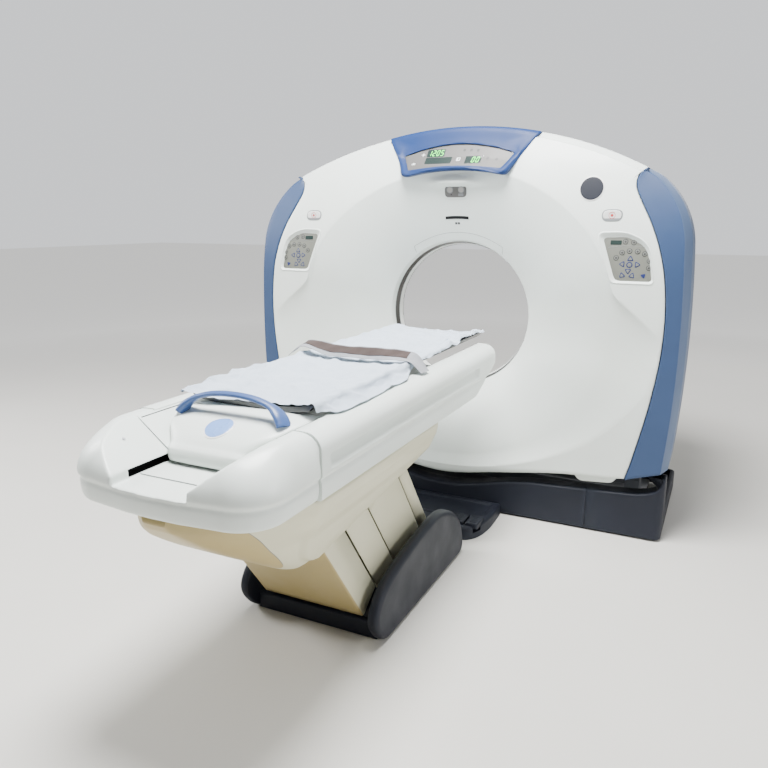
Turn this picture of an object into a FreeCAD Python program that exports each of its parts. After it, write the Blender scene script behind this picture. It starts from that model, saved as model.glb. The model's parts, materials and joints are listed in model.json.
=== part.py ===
# CT scanner: a tilting gantry on a floor plinth and a lifting patient table with a sliding cradle.
# X points right, Y runs along the table into the gantry, Z points up. The origin is on the floor,
# straight below the point where the scan plane meets the bore axis.
import FreeCAD, Part
import math
import os
import Sketcher

# Driving dimensions in millimetres and degrees. Each becomes an aliased cell of the sheet.
dims = {
    # gantry envelope
    "isoHeight": 977, "halfWidth": 1100, "gantryTop": 1890, "frontFace": -230, "rearFace": 700,
    "wall": 8, "seamDepth": 60, "seamGap": 1, "faceBend": 1150, "faceBendRadius": 1400,
    # patient bore and rear funnel
    "boreRadius": 350, "rimRadius": 375, "rimDepth": -40, "windowFront": -30, "windowRear": 30,
    "throatRear": 56, "funnelRear": 694, "funnelRadius": 662, "linerWall": 6,
    # rotor and its bearing
    "ringInner": 460, "ringOuter": 720, "ringFront": 165, "ringRear": 200,
    "raceInner": 500, "raceMiddle": 545, "raceOuter": 570, "bearingRear": 260, "runningGap": 0.05,
    "focusRadius": 541, "detectorRadius": 949, "detectorDepth": 75, "detectorAngle": 27,
    # tilt frame, trunnions and uprights
    "frameOuter": 800, "frameRear": 300, "cheekInner": 800, "cheekOuter": 845,
    "trunnionRadius": 45, "trunnionEnd": 975, "uprightInner": 860, "uprightOuter": 930,
    "bushRadius": 60, "bossRadius": 95,
    # rotor drive
    "motorX": 660, "motorDrop": 600, "pulleyRadius": 45, "beltGap": 0.5, "beltThick": 6,
    # plinth
    "plinthFront": -211, "plinthRear": 590, "plinthHalf": 1075, "plinthSeam": 731, "skin": 8,
    "plinthGap": 6, "plinthLow": 100,
    # table base and lift
    "liftLean": 36, "liftLength": 618, "pivotHeight": 100, "frontPivot": -1280, "rearPivot": -960,
    "armThick": 35, "armHalf": 120, "lugInner": 125, "lugOuter": 145, "pinRadius": 15,
    "coverPivot": -1440, "coverPivotHeight": 80, "slatFrontPivot": -1260, "slatRearPivot": -1030,
    "backPivot": -873, "backPivotHeight": 200, "linkPin": 8, "pinEnd": 264, "pedalAxis": 52,
    "skirtInner": 250, "skirtOuter": 290,
    # table top
    "tableHalf": 330, "tableBottom": 715, "tableTop": 905, "tableEnd": -430, "capSeam": -1957,
    "troughHalf": 242, "troughFloor": 781, "lipHalf": 122, "hullHalf": 320,
    # cradle and its carriage
    "cradleHalf": 225, "cradleFoot": -1820, "cradleEnd": -300, "cradleTop": 938,
    "coverHalf": 232, "handleReach": 172, "handleRadius": 257, "handleTube": 11,
}

doc = FreeCAD.newDocument("CtScanner")
sheet = doc.addObject("Spreadsheet::Sheet", "Dims")
for row, (alias, size) in enumerate(dims.items(), start=1):
    sheet.set(f"A{row}", alias)
    sheet.set(f"B{row}", str(size))
    sheet.setAlias(f"B{row}", alias)
doc.recompute()

nodes = {}
planeRoles = {"XY": ("XY_Plane", 1), "XZ": ("XZ_Plane", -1), "YZ": ("YZ_Plane", 1)}
axisTurns = {
    "x": FreeCAD.Rotation(FreeCAD.Vector(0, 1, 0), 90),
    "y": FreeCAD.Rotation(FreeCAD.Vector(1, 0, 0), -90),
    "z": FreeCAD.Rotation(),
}


# A size is a number, or words such as "tableTop - wall + 3" that add and subtract sheet aliases.
def value(size):
    if not isinstance(size, str):
        return float(size)
    total, sign = 0.0, 1
    for word in size.split():
        if word in "+-":
            sign = 1 if word == "+" else -1
            continue
        number = dims[word] if word in dims else float(word)
        total += sign * number
        sign = 1
    return total


def formula(size):
    if not isinstance(size, str):
        return f"{size:g}"
    return " ".join(f"Dims.{word}" if word in dims else word for word in size.split())


def minus(size):
    return f"0 - {size}" if isinstance(size, str) and " " not in size else -size


# Sketches

def addCircle(sketch, x, y, radius):
    centre = FreeCAD.Vector(value(x), value(y), 0)
    circle = Part.Circle(centre, FreeCAD.Vector(0, 0, 1), value(radius))
    index = sketch.addGeometry(circle, False)
    for kind, size in (("DistanceX", x), ("DistanceY", y)):
        place = sketch.addConstraint(Sketcher.Constraint(kind, index, 3, value(size)))
        sketch.setExpression(f"Constraints[{place}]", formula(size))
    place = sketch.addConstraint(Sketcher.Constraint("Radius", index, value(radius)))
    sketch.setExpression(f"Constraints[{place}]", formula(radius))


# An edge from start to end: straight, or an arc whose centre is on the left for a positive radius.
def edgeBetween(start, end, radius):
    if not radius:
        return Part.LineSegment(start, end), (1, 2)
    chord = end - start
    middle = (start + end) * 0.5
    left = FreeCAD.Vector(-chord.y, chord.x, 0).normalize()
    reach = math.sqrt(max(radius * radius - chord.Length ** 2 / 4, 0.0))
    centre = middle + left * math.copysign(reach, radius)
    circle = Part.Circle(centre, FreeCAD.Vector(0, 0, 1), abs(radius))
    first, last = (start, end) if radius > 0 else (end, start)
    angles = [math.atan2(point.y - centre.y, point.x - centre.x) for point in (first, last)]
    return Part.ArcOfCircle(circle, *angles), ((1, 2) if radius > 0 else (2, 1))


# A closed outline: each corner is (x, y), or (x, y, radius) where the edge that leaves it is an arc.
def addOutline(sketch, corners):
    places = [FreeCAD.Vector(value(corner[0]), value(corner[1]), 0) for corner in corners]
    count = len(corners)
    ends = []
    for step, corner in enumerate(corners):
        radius = value(corner[2]) if len(corner) > 2 else 0
        edge, ports = edgeBetween(places[step], places[(step + 1) % count], radius)
        ends.append((sketch.addGeometry(edge, False), ports, radius))
    for step, (index, ports, radius) in enumerate(ends):
        following, nextPorts, _ = ends[(step + 1) % count]
        sketch.addConstraint(Sketcher.Constraint("Coincident", index, ports[1], following, nextPorts[0]))
        for kind, size in (("DistanceX", corners[step][0]), ("DistanceY", corners[step][1])):
            constraint = Sketcher.Constraint(kind, index, ports[0], value(size))
            sketch.setExpression(f"Constraints[{sketch.addConstraint(constraint)}]", formula(size))
        if radius:
            sketch.addConstraint(arcConstraint(index, places[step], places[(step + 1) % count], abs(radius)))


# An arc between fixed ends takes its radius, and a half circle takes its centre instead.
def arcConstraint(index, start, end, radius):
    chord = end - start
    if chord.Length < 1.99 * radius:
        return Sketcher.Constraint("Radius", index, radius)
    if abs(chord.y) > abs(chord.x):
        return Sketcher.Constraint("DistanceX", index, 3, (start.x + end.x) / 2)
    return Sketcher.Constraint("DistanceY", index, 3, (start.y + end.y) / 2)


def sketchOn(body, plane, offset, loops):
    sketch = body.newObject("Sketcher::SketchObject", f"{body.Name}Sketch")
    role, side = planeRoles[plane]
    origin = next(item for item in body.Origin.OriginFeatures if item.Role == role)
    sketch.AttachmentSupport = [(origin, "")]
    sketch.MapMode = "FlatFace"
    sketch.setExpression(".AttachmentOffset.Base.z", f"{side} * ({formula(offset)})")
    for loop in loops:
        if loop[0] == "circle":
            addCircle(sketch, *loop[1:])
        else:
            addOutline(sketch, loop)
    return sketch


# Features

def newBody(name, height=None):
    body = doc.addObject("PartDesign::Body", name)
    if height is not None:
        body.setExpression(".Placement.Base.z", formula(height))
    return body


# Pads or cuts the outlines from one plane position to a higher one.
def pad(body, plane, low, high, *loops):
    sketch = sketchOn(body, plane, low, loops)
    feature = body.newObject("PartDesign::Pad", f"{body.Name}Pad")
    feature.Profile = sketch
    feature.Reversed = planeRoles[plane][1] < 0
    feature.setExpression("Length", f"({formula(high)}) - ({formula(low)})")
    return feature


# Turns outlines given as (Y, radius) about the body's own Y axis.
def turned(name, *loops, height="isoHeight"):
    body = newBody(name, height)
    sketch = sketchOn(body, "YZ", 0, loops)
    feature = body.newObject("PartDesign::Revolution", f"{name}Turn")
    feature.Profile = sketch
    feature.ReferenceAxis = (sketch, ["H_Axis"])
    feature.Angle = 360
    return body


def prism(name, plane, low, high, *loops, height=None):
    body = newBody(name, height)
    pad(body, plane, low, high, *loops)
    return body


def block(name, x, y, z):
    solid = doc.addObject("Part::Box", name)
    for side, axis, (low, high) in zip(("Length", "Width", "Height"), "xyz", (x, y, z)):
        solid.setExpression(side, f"({formula(high)}) - ({formula(low)})")
        solid.setExpression(f".Placement.Base.{axis}", formula(low))
    return solid


# A cylinder along one axis from low to high; the centre gives the other two places in X, Y, Z order.
def rod(name, axis, centre, radius, low, high):
    solid = doc.addObject("Part::Cylinder", name)
    solid.Placement.Rotation = axisTurns[axis]
    places = dict(zip([letter for letter in "xyz" if letter != axis], centre))
    places[axis] = low
    for letter, place in places.items():
        solid.setExpression(f".Placement.Base.{letter}", formula(place))
    solid.setExpression("Radius", formula(radius))
    solid.setExpression("Height", f"({formula(high)}) - ({formula(low)})")
    return solid


def fused(name, *solids):
    result = doc.addObject("Part::MultiFuse", name)
    result.Shapes = list(solids)
    return result


def shared(name, *solids):
    result = doc.addObject("Part::MultiCommon", name)
    result.Shapes = list(solids)
    return result


def cut(name, base, *tools):
    tool = tools[0] if len(tools) == 1 else fused(f"{name}Tools", *tools)
    result = doc.addObject("Part::Cut", name)
    result.Base = base
    result.Tool = tool
    return result


def group(name, *solids):
    result = doc.addObject("Part::Compound", name)
    result.Links = list(solids)
    return result


def mirrored(name, source):
    result = doc.addObject("Part::Mirroring", name)
    result.Source = source
    result.Normal = FreeCAD.Vector(1, 0, 0)
    return result


def node(name, solid):
    solid.Label = name
    nodes[name] = solid
    return solid


# Gantry shell
# The shell is a front outline, a side outline and a plan outline brought together, once outside
# and once a wall further in. The bowl round the bore is turned out of it.

def gantryEnvelope(name, inset, bottom):
    low = [(1078, bottom[0]), (885, bottom[1]), (602, bottom[2]), (307, bottom[3]), (0, bottom[4])]
    right = [(1078 - inset, bottom[0], 6000 - inset), (1088 - inset, 1335, 425 - inset),
             (935 - inset / 2, 1640 - inset, 1873 - inset)]
    left = [(-935 + inset / 2, 1640 - inset, 425 - inset), (-1088 + inset, 1335, 6000 - inset),
            (-1078 + inset, bottom[0])]
    floor = [(-885, bottom[1]), (-602, bottom[2]), (-307, bottom[3]), (0, bottom[4]),
             (307, bottom[3]), (602, bottom[2]), (885, bottom[1])]
    front = prism(f"{name}Front", "XZ", "frontFace - 20", "rearFace + 20", right + left + floor)
    topFront = -20.4 + inset
    sideLow = 170 if inset == 0 else 60
    side = prism(f"{name}Side", "YZ", -1150, 1150, [
        (f"frontFace + {inset}", sideLow), (f"rearFace - {inset}", 400 if inset == 0 else sideLow),
        (f"rearFace - {inset}", 1795 - inset, 80), (620, 1875 - inset),
        (60, f"gantryTop - {inset}"), (topFront, 1886 - inset, f"faceBendRadius - {inset}"),
        (f"frontFace + {inset}", "faceBend")])
    plan = prism(f"{name}Plan", "XY", 0, 2000, [
        (-1000 + inset, f"frontFace + {inset}"), (1000 - inset, f"frontFace + {inset}", 110),
        (f"halfWidth - {inset}", -140), (1062 - inset, f"rearFace - {inset}"),
        (-1062 + inset, f"rearFace - {inset}"), (f"0 - halfWidth + {inset}", -140, 110)])
    return shared(name, front, side, plan)


shellOutside = gantryEnvelope("ShellOutside", 0, (352, 285, 264, 222, 180))
shellInside = gantryEnvelope("ShellInside", dims["wall"], (90, 90, 90, 90, 90))
bowl = turned("Bowl", [(-280, 0), ("rimDepth + 160", 0), ("rimDepth + 160", "rimRadius"),
                       ("rimDepth", "rimRadius"), (-55, 400), (-85, 454), (-143, 577),
                       (-180, 660), (-226, 780), (-280, 800)])
bowlBack = turned("BowlBack", [(-280, 0), ("windowFront", 0), ("windowFront", "rimRadius + wall"),
                               (-47, 406), (-78, 460), (-135, 582), (-172, 665), (-218, 789),
                               (-272, 812), (-280, 812)])
rearHole = rod("RearHole", "y", (0, "isoHeight"), "funnelRadius + 12", "rearFace - 60", "rearFace + 20")
shellVoid = cut("ShellVoid", shellInside, bowlBack)
shellWall = cut("ShellWall", shellOutside, bowl, rearHole, shellVoid)

wingEdge = [(845, 1800), (862, 1677), (839, 1608), (870, 1527), (925, 1424), (965, 1321), (995, 1195),
            (1010, 1025), (1004, 850), (984, 690), (963, 570), (922, 378), (898, 290), (898, 60)]


def wingZone(name, shift):
    inner = [(x - shift, z) for x, z in wingEdge]
    return prism(name, "XZ", "frontFace - 40", f"seamDepth - {1 - shift}", inner + [(1200, 60), (1200, 1800)])


wing = node("wing_right", shared("WingRight", shellWall, wingZone("WingZone", 0)))
node("wing_left", mirrored("WingLeft", wing))
wingRoom = wingZone("WingRoom", dims["seamGap"])
wingRoomLeft = mirrored("WingRoomLeft", wingRoom)

podCorners = [(248, 1650, 1100), (-248, 1650), (-385, 1842), (-400, 1960), (400, 1960), (385, 1842)]
podRoomCorners = [(250, 1648, 1100), (-250, 1648), (-387, 1842), (-402, 1965), (402, 1965), (387, 1842)]
podRoom = prism("PodRoom", "XZ", -280, "seamDepth", podRoomCorners)


def podSide(name, inset):
    return prism(name, "YZ", -420, 420, [
        (-170 + inset, 1640 + inset), (-168 + inset, 1690), (-72 + inset, 1805), (-22 + inset, 1886 - inset),
        ("seamDepth", 1892 - inset), ("seamDepth", 1640 + inset)])


podInnerCorners = [(242, 1657, 1100), (-242, 1657), (-377, 1842), (-392, 1950), (392, 1950), (377, 1842)]
podOutside = shared("PodOutside", prism("PodOutline", "XZ", -280, "seamDepth - 1", podCorners),
                    podSide("PodSideOutside", 0), prism("PodTop", "XZ", -280, "seamDepth - 1", [
                        (420, 1600), (420, 1842, 1873), (-420, 1842), (-420, 1600)]))
podInside = shared("PodInside", prism("PodHollow", "XZ", -280, "seamDepth", podInnerCorners),
                   podSide("PodSideInside", 7), prism("PodTopInside", "XZ", -280, "seamDepth", [
                       (412, 1600), (412, 1836, 1867), (-412, 1836), (-412, 1600)]))
displayCorners = [(233, 1682, 1940), (-233, 1682), (-278, 1754, -800), (278, 1754)]
displayOpening = prism("DisplayOpening", "XZ", -280, 20, displayCorners)
node("display_pod", cut("DisplayPod", podOutside, podInside, displayOpening))
windowCorners = [(232, 1683, 1940), (-232, 1683), (-277, 1753, -800), (277, 1753)]
windowSlope = prism("DisplaySlope", "YZ", -320, 320, [
    (-164, 1690), (-60, 1816), (-56, 1812), (-160, 1686), (-160, 1660), (-164, 1660)])
displayBlank = prism("DisplayBlank", "XZ", -280, 20, windowCorners)
node("display_window", shared("DisplayWindow", displayBlank, windowSlope))

cameraCorners = [(-53, 1555), (53, 1555), (53, 1609), (-53, 1609)]
node("camera_panel", prism("CameraPanel", "XZ", -163, -125, cameraCorners))
cameraRoom = block("CameraRoom", (-53.5, 53.5), (-280, -100), (1554.5, 1609.5))
node("laser_window", prism("LaserWindow", "XZ", -104, -80, [
    (-51, 1453, -6), (-51, 1465), (51, 1465, -6), (51, 1453)]))
laserRoom = block("LaserRoom", (-57.5, 57.5), (-280, -60), (1452.5, 1465.5))

keypadCorners = [(721, 1375), (788, 1189), (943, 1191), (918, 1330, 45), (880, 1366)]
keypadRoomCorners = [(719.5, 1377), (787, 1187.5), (945, 1189.5), (920, 1331, 46), (881, 1368)]
keypad = node("keypad_right", shared("KeypadRight", shellInside,
                                     prism("KeypadBlank", "XZ", "frontFace", -195, keypadCorners)))
node("keypad_left", mirrored("KeypadLeft", keypad))
keypadRoom = prism("KeypadRoom", "XZ", -300, -150, keypadRoomCorners)


# A stop button is a flat-sided oval cap that slides straight into the cover.
def stopOutline(grow):
    high, low = 1469 + 22 + grow, 1469 - 22 - grow
    return [(737, low), (773, low, 22 + grow), (773, high), (737, high, 22 + grow)]


stopButton = node("estop_right", prism("StopRight", "XZ", -199, -176, stopOutline(0)))
node("estop_left", mirrored("StopLeft", stopButton))
stopRoom = prism("StopRoom", "XZ", -300, -120, stopOutline(0.6))

frontZone = block("FrontZone", (-1120, 1120), (-300, "seamDepth - 1"), (60, 1960))
sideRooms = [keypadRoom, stopRoom]
frontBlank = shared("FrontBlank", shellWall, frontZone)
node("front_cover", cut("FrontCover", frontBlank, wingRoom, wingRoomLeft, podRoom, cameraRoom, laserRoom,
                        *sideRooms, *[mirrored(f"{room.Name}Left", room) for room in sideRooms]))
rearZone = block("RearZone", (-1120, 1120), ("seamDepth", "rearFace + 20"), (60, 1960))
node("rear_cover", shared("RearCover", shellWall, rearZone))

node("mylar_window", turned("MylarWindow", [
    ("windowFront", "boreRadius"), ("windowRear", "boreRadius"),
    ("windowRear", "boreRadius + 3"), ("windowFront", "boreRadius + 3")]))
node("bore_liner", turned("BoreLiner", [
    ("windowRear", "boreRadius"), ("throatRear", "boreRadius"), ("funnelRear", "funnelRadius"),
    ("funnelRear", "funnelRadius + linerWall + 1"), ("throatRear", "boreRadius + linerWall"),
    ("windowRear", "boreRadius + linerWall")]))

# Tilt frame, bearing and rotor

frameBody = newBody("TiltFrameRing", "isoHeight")
pad(frameBody, "XZ", "bearingRear", "frameRear",
    ("circle", 0, 0, "frameOuter"), ("circle", 0, 0, "raceInner"), ("circle", 680, -620, 8))
pad(frameBody, "XZ", "ringRear + 5", "bearingRear", ("circle", 0, 0, 590), ("circle", 0, 0, "raceOuter"))
motorLug = prism("MotorLug", "XZ", "bearingRear", "frameRear", [
    (520, -610), (560, -700), (740, -700), (740, -560), (650, -450)], height="isoHeight")
motorShaftRoom = rod("MotorShaftRoom", "y", ("motorX", "isoHeight - motorDrop"), 20, 240, 320)
cheeks = [block(f"Cheek{side}", x, (-110, "frameRear"), ("isoHeight - 120", "isoHeight + 120"))
          for side, x in (("Right", ("cheekInner - 25", "cheekOuter")),
                          ("Left", ("0 - cheekOuter", "25 - cheekInner")))]
pins = [rod(f"Trunnion{side}", "x", (0, "isoHeight"), "trunnionRadius", low, high)
        for side, low, high in (("Right", "cheekOuter - 5", "trunnionEnd"),
                                ("Left", -928, "5 - cheekOuter"))]
rotorRoom = rod("RotorRoom", "y", (0, "isoHeight"), 735, -200, "ringRear + 5")
frameBlank = fused("TiltFrameBlank", frameBody, motorLug, *cheeks, *pins)
node("tilt_frame", cut("TiltFrame", frameBlank, rotorRoom, motorShaftRoom))


def ringBetween(name, inner, outer, front, rear):
    return turned(name, [(front, inner), (rear, inner), (rear, outer), (front, outer)])


node("main_bearing_outer", ringBetween("BearingOuter", "raceMiddle + runningGap", "raceOuter",
                                       "ringRear + 8", "bearingRear"))
innerRace = ringBetween("BearingInner", "raceInner", "raceMiddle", "ringRear", "bearingRear - 5")
node("main_bearing_inner", innerRace)
node("rotor_ring", ringBetween("RotorRing", "ringInner", "ringOuter", "ringFront", "ringRear"))
node("slip_ring", ringBetween("SlipRing", 630, 680, "ringRear", "ringRear + 18"))

tubeHousing = rod("TubeHousing", "y", (0, "isoHeight + 590"), 95, -60, "ringFront")
tubeEnd = rod("TubeEnd", "y", (0, "isoHeight + 590"), 60, -76, -60)
tubeFoot = block("TubeFoot", (-110, 110), ("ringFront - 20", "ringFront"),
                 ("isoHeight + 500", "isoHeight + 690"))
node("x_ray_tube", fused("XrayTube", tubeHousing, tubeEnd, tubeFoot))
collimatorBlank = block("CollimatorBlank", (-110, 110), (-20, "ringFront"),
                        ("isoHeight + 425", "isoHeight + 493"))
beamSlot = block("BeamSlot", (-80, 80), (-4, 60), ("isoHeight + 400", "isoHeight + 500"))
node("collimator", cut("Collimator", collimatorBlank, beamSlot))


# The detector is an arc about the focal spot, hung on the rotor opposite the tube.
def detectorOutline():
    half = math.radians(dims["detectorAngle"])
    inner, outer = dims["detectorRadius"], dims["detectorRadius"] + dims["detectorDepth"]
    corner = [(radius * math.sin(half), dims["focusRadius"] - radius * math.cos(half))
              for radius in (inner, outer)]
    return [(-corner[1][0], corner[1][1], "detectorRadius + detectorDepth"), corner[1],
            (corner[0][0], corner[0][1], "0 - detectorRadius"), (-corner[0][0], corner[0][1])]


node("detector_arc", prism("DetectorArc", "XZ", -20, 120, detectorOutline(), height="isoHeight"))
detectorBack = prism("DetectorBack", "XZ", 120, "ringFront", [
    (-330, -440), (-150, -500), (150, -500), (330, -440), (260, -560), (-260, -560)], height="isoHeight")
cabinets = [block(f"Cabinet{side}", x, (-55, "ringFront"), (f"isoHeight {low}", f"isoHeight {high}"))
            for side, x, low, high in (("Left", (-655, -470), "- 60", "+ 200"),
                                       ("Right", (470, 655), "- 60", "+ 200"))]
node("rotor_cabinets", group("RotorCabinets", *cabinets, detectorBack))

# Rotor drive

motorCan = rod("MotorCan", "y", ("motorX", "isoHeight - motorDrop"), 70, "frameRear", 470)
motorBore = rod("MotorBore", "y", ("motorX", "isoHeight - motorDrop"), "12 + runningGap",
                "frameRear - 10", 360)
node("drive_motor", cut("DriveMotor", motorCan, motorBore))
pulleyRim = rod("PulleyRim", "y", ("motorX", "isoHeight - motorDrop"), "pulleyRadius",
                "ringFront", "ringRear")
pulleyShaft = rod("PulleyShaft", "y", ("motorX", "isoHeight - motorDrop"), 12, "ringRear - 5", 355)
node("drive_pulley", fused("DrivePulley", pulleyRim, pulleyShaft))


# The flat belt follows the two outside tangents between the rotor's rim and the pulley.
def beltOutline(grow):
    big, small = dims["ringOuter"] + grow, dims["pulleyRadius"] + grow
    farX, farZ = dims["motorX"], -dims["motorDrop"]
    heading = math.atan2(farZ, farX)
    spread = math.acos((big - small) / math.hypot(farX, farZ))

    def rim(x, z, radius, angle):
        return x + radius * math.cos(angle), z + radius * math.sin(angle)

    return [rim(0, 0, big, heading - spread), (*rim(farX, farZ, small, heading - spread), small),
            rim(farX, farZ, small, heading + spread), (*rim(0, 0, big, heading + spread), big),
            (*rim(0, 0, big, heading + math.pi), big)]


beltInside = beltOutline(dims["beltGap"])
beltOutside = beltOutline(dims["beltGap"] + dims["beltThick"])
node("drive_belt", prism("DriveBelt", "XZ", "ringFront + 5", "ringRear - 5", beltOutside, beltInside,
                         height="isoHeight"))

# Fixed base of the gantry

basePlate = prism("BasePlate", "XY", 0, 30, [(-950, -150), (950, -150), (950, 560), (-950, 560)],
                  *[("circle", x, y, 11) for x in (-800, 800) for y in (-90, 500)])
ribs = [block(f"BaseRib{place}", (-840, 840), (y, y + 16), (30, 85))
        for place, y in enumerate((-40, 210, 440))]
node("gantry_base_frame", fused("GantryBase", basePlate, *ribs))

uprightSide = [(100, 30), (285, 30), (285, 125), (375, 300), (95, "isoHeight", "bossRadius"),
               (-95, "isoHeight"), (-95, 790), (190, 262), (190, 140), (100, 75)]
upright = node("upright_right", prism("UprightRight", "YZ", "uprightInner", "uprightOuter", uprightSide,
                                      ("circle", 0, "isoHeight", "bushRadius")))
node("upright_left", mirrored("UprightLeft", upright))
bush = prism("BushRight", "YZ", "uprightInner", "uprightOuter",
             ("circle", 0, "isoHeight", "bushRadius"), ("circle", 0, "isoHeight", "trunnionRadius + runningGap"))
node("trunnion_bearings", group("TrunnionBearings", bush, mirrored("BushLeft", bush)))

gearCase = rod("GearCase", "x", (0, "isoHeight"), 85, "uprightOuter", 1030)
gearBore = rod("GearBore", "x", (0, "isoHeight"), "trunnionRadius + runningGap", "uprightOuter - 10", 990)
tiltMotor = block("TiltMotor", (935, 1025), (-50, 50), ("isoHeight - 210", "isoHeight - 60"))
node("tilt_gearmotor", cut("TiltGearmotor", fused("TiltDrive", gearCase, tiltMotor), gearBore))

# The plinth's top edge rises from the middle to each end.
frontTop = [("plinthSeam", 204), (604, 195), (458, 192), (200, 144), (0, 118),
            (-200, 144), (-458, 192), (-604, 195), (minus("plinthSeam"), 204)]
plinthFront = newBody("PlinthFront")
pad(plinthFront, "XZ", "plinthFront", "plinthFront + skin",
    [(minus("plinthSeam"), "plinthGap"), ("plinthSeam", "plinthGap")] + frontTop)
pad(plinthFront, "XZ", "plinthFront + skin", -120,
    frontTop + [(x, z - 8) for x, z in reversed(frontTop)])
node("plinth_front_cover", plinthFront)

endTop = [("plinthHalf", 300), ("plinthHalf - 6", 300), (1040, 240), (968, 218), ("plinthSeam + 1", 204)]
plinthEnd = newBody("PlinthEnd")
pad(plinthEnd, "XZ", "plinthFront", "plinthFront + skin",
    [("plinthSeam + 1", "plinthGap"), ("plinthHalf - 40", "plinthGap", 40), ("plinthHalf", 46)] + endTop)
pad(plinthEnd, "XZ", "plinthFront + skin", -120, [
    ("plinthHalf - 4", 296), (1040, 240), (968, 218), ("plinthSeam + 1", 204), ("plinthSeam + 1", 196),
    (968, 210), (1036, 231), ("plinthHalf - 4", 286)])
pad(plinthEnd, "YZ", "plinthHalf - skin", "plinthHalf", [
    ("plinthFront", "plinthGap + 40"), (-120, "plinthGap"), ("plinthRear", "plinthGap"),
    ("plinthRear", "plinthLow"), (-40, "plinthLow"), (-90, 300), ("plinthFront", 300)])
pad(plinthEnd, "XZ", "plinthRear - skin", "plinthRear", [
    ("plinthSeam + 1", "plinthGap"), ("plinthHalf", "plinthGap"),
    ("plinthHalf", "plinthLow"), ("plinthSeam + 1", "plinthLow")])
node("plinth_end_right", plinthEnd)
node("plinth_end_left", mirrored("PlinthEndLeft", plinthEnd))
node("plinth_rear_cover", block("PlinthRear", (minus("plinthSeam"), "plinthSeam"),
                                ("plinthRear - skin", "plinthRear"), ("plinthGap", "plinthLow")))

# Table base, pedals and lift

tablePlate = prism("TablePlate", "XY", 0, 25, [(-185, -1440), (185, -1440), (185, -640), (-185, -640)],
                   *[("circle", x, y, 9) for x in (-160, 160) for y in (-1410, -680)])
baseLugs = []
for side, low, high in (("Right", "lugInner", "lugOuter"), ("Left", "0 - lugOuter", "0 - lugInner")):
    for place, centre in (("Front", "frontPivot"), ("Rear", "rearPivot")):
        baseLugs.append(prism(f"BaseLug{place}{side}", "YZ", low, high, [
            (f"{centre} - 70", 25), (f"{centre} + 70", 25), (f"{centre} + 38", "pivotHeight", 38),
            (f"{centre} - 38", "pivotHeight")], ("circle", centre, "pivotHeight", "pinRadius + runningGap")))
node("table_base_frame", fused("TableBase", tablePlate, *baseLugs))

skirtSide = [(-1478, 0), (-690, 0), (-668, 60, 160), (-735, 200, 130), (-934, 288), (-1143, 273),
             (-1345, 241),
             (-1480, 212, 100), (-1568, 110, 120)]
linkPivots = [("coverPivot", "coverPivotHeight"), ("slatFrontPivot", "pivotHeight"),
              ("slatRearPivot", "pivotHeight"), ("backPivot", "backPivotHeight")]
pinRooms = [rod(f"PinRoom{place}", "x", pivot, "linkPin + runningGap", "skirtInner - 2", "pinEnd + 1")
            for place, pivot in enumerate(linkPivots)]
skirtBlank = prism("SkirtRight", "YZ", "skirtInner", "skirtOuter", skirtSide)
skirt = node("table_skirt_right", cut("SkirtDrilled", skirtBlank,
                                      *pinRooms))
node("table_skirt_left", mirrored("SkirtLeft", skirt))
node("kick_bar", prism("KickBar", "YZ", "1 - skirtInner", "skirtInner - 1", [
    (-1474, 0), (-1450, 0), (-1450, 60), (-1458, 66), (-1470, 66)]))

pedalPlan = [(-320, -216), (-328, -420), (-300, -540, 70), (-240, -592), (240, -592, 70), (300, -540),
             (328, -420), (320, -216)]
pedals = {"pedal_lower": (176, 238), "pedal_raise": (246, 308)}
pedalRooms = []
for place, (low, high) in enumerate(pedals.values()):
    pedalRooms.append(block(f"PedalRoom{place}", (low - 2, high + 2), (-550, -436), (30, 100)))
    pedalRooms.append(rod(f"PedalPinRoom{place}", "x", (-446, "pedalAxis"), "4 + runningGap",
                          low - 3.8, high + 3.8))
housingBlank = prism("HousingBlank", "XY", 0, 62, pedalPlan)
node("pedal_housing", cut("PedalHousing", housingBlank, *pedalRooms))
for name, (low, high) in pedals.items():
    plate = prism(f"{name}Plate", "YZ", low, high, [
        (-452, 46), (-440, 46), (-440, 68), (-446, 74), (-540, 72), (-546, 67), (-546, 60), (-452, 60)])
    pin = rod(f"{name}Pin", "x", (-446, "pedalAxis"), 4, low - 3.5, high + 3.5)
    node(name, fused(f"{name}Lever", plate, pin))

leanTurn = FreeCAD.Rotation(FreeCAD.Vector(1, 0, 0), dims["liftLean"])


# A lift piece is drawn upright on its lower pivot, then leaned away from the gantry about it.
def leaned(solid, pivot, height):
    solid.Placement.Rotation = leanTurn
    solid.setExpression(".Placement.Base.y", formula(pivot))
    solid.setExpression(".Placement.Base.z", formula(height))
    return solid


for name, pivot, driveEnd in (("lift_arm_front", "frontPivot", -178), ("lift_arm_rear", "rearPivot", -143)):
    arm = newBody(name + "Body")
    pad(arm, "YZ", minus("armHalf"), "armHalf", [
        ("armThick", 0), ("armThick", "liftLength", "armThick"), ("0 - armThick", "liftLength"),
        ("0 - armThick", 0, "armThick")])
    pad(arm, "YZ", driveEnd, 143, ("circle", 0, 0, "pinRadius"))
    pad(arm, "YZ", -143, 143, ("circle", 0, "liftLength", "pinRadius"))
    node(name, leaned(arm, pivot, "pivotHeight"))

motorCase = rod("LiftCase", "x", ("frontPivot", "pivotHeight"), 48, -186, -150)
liftMotor = block("LiftMotor", (-186, -150), ("frontPivot", "frontPivot + 220"), (58, 100))
liftBore = rod("LiftBore", "x", ("frontPivot", "pivotHeight"), "pinRadius + runningGap", -180, -140)
node("lift_gearmotor", cut("LiftGearmotor", fused("LiftDrive", motorCase, liftMotor), liftBore))


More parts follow.
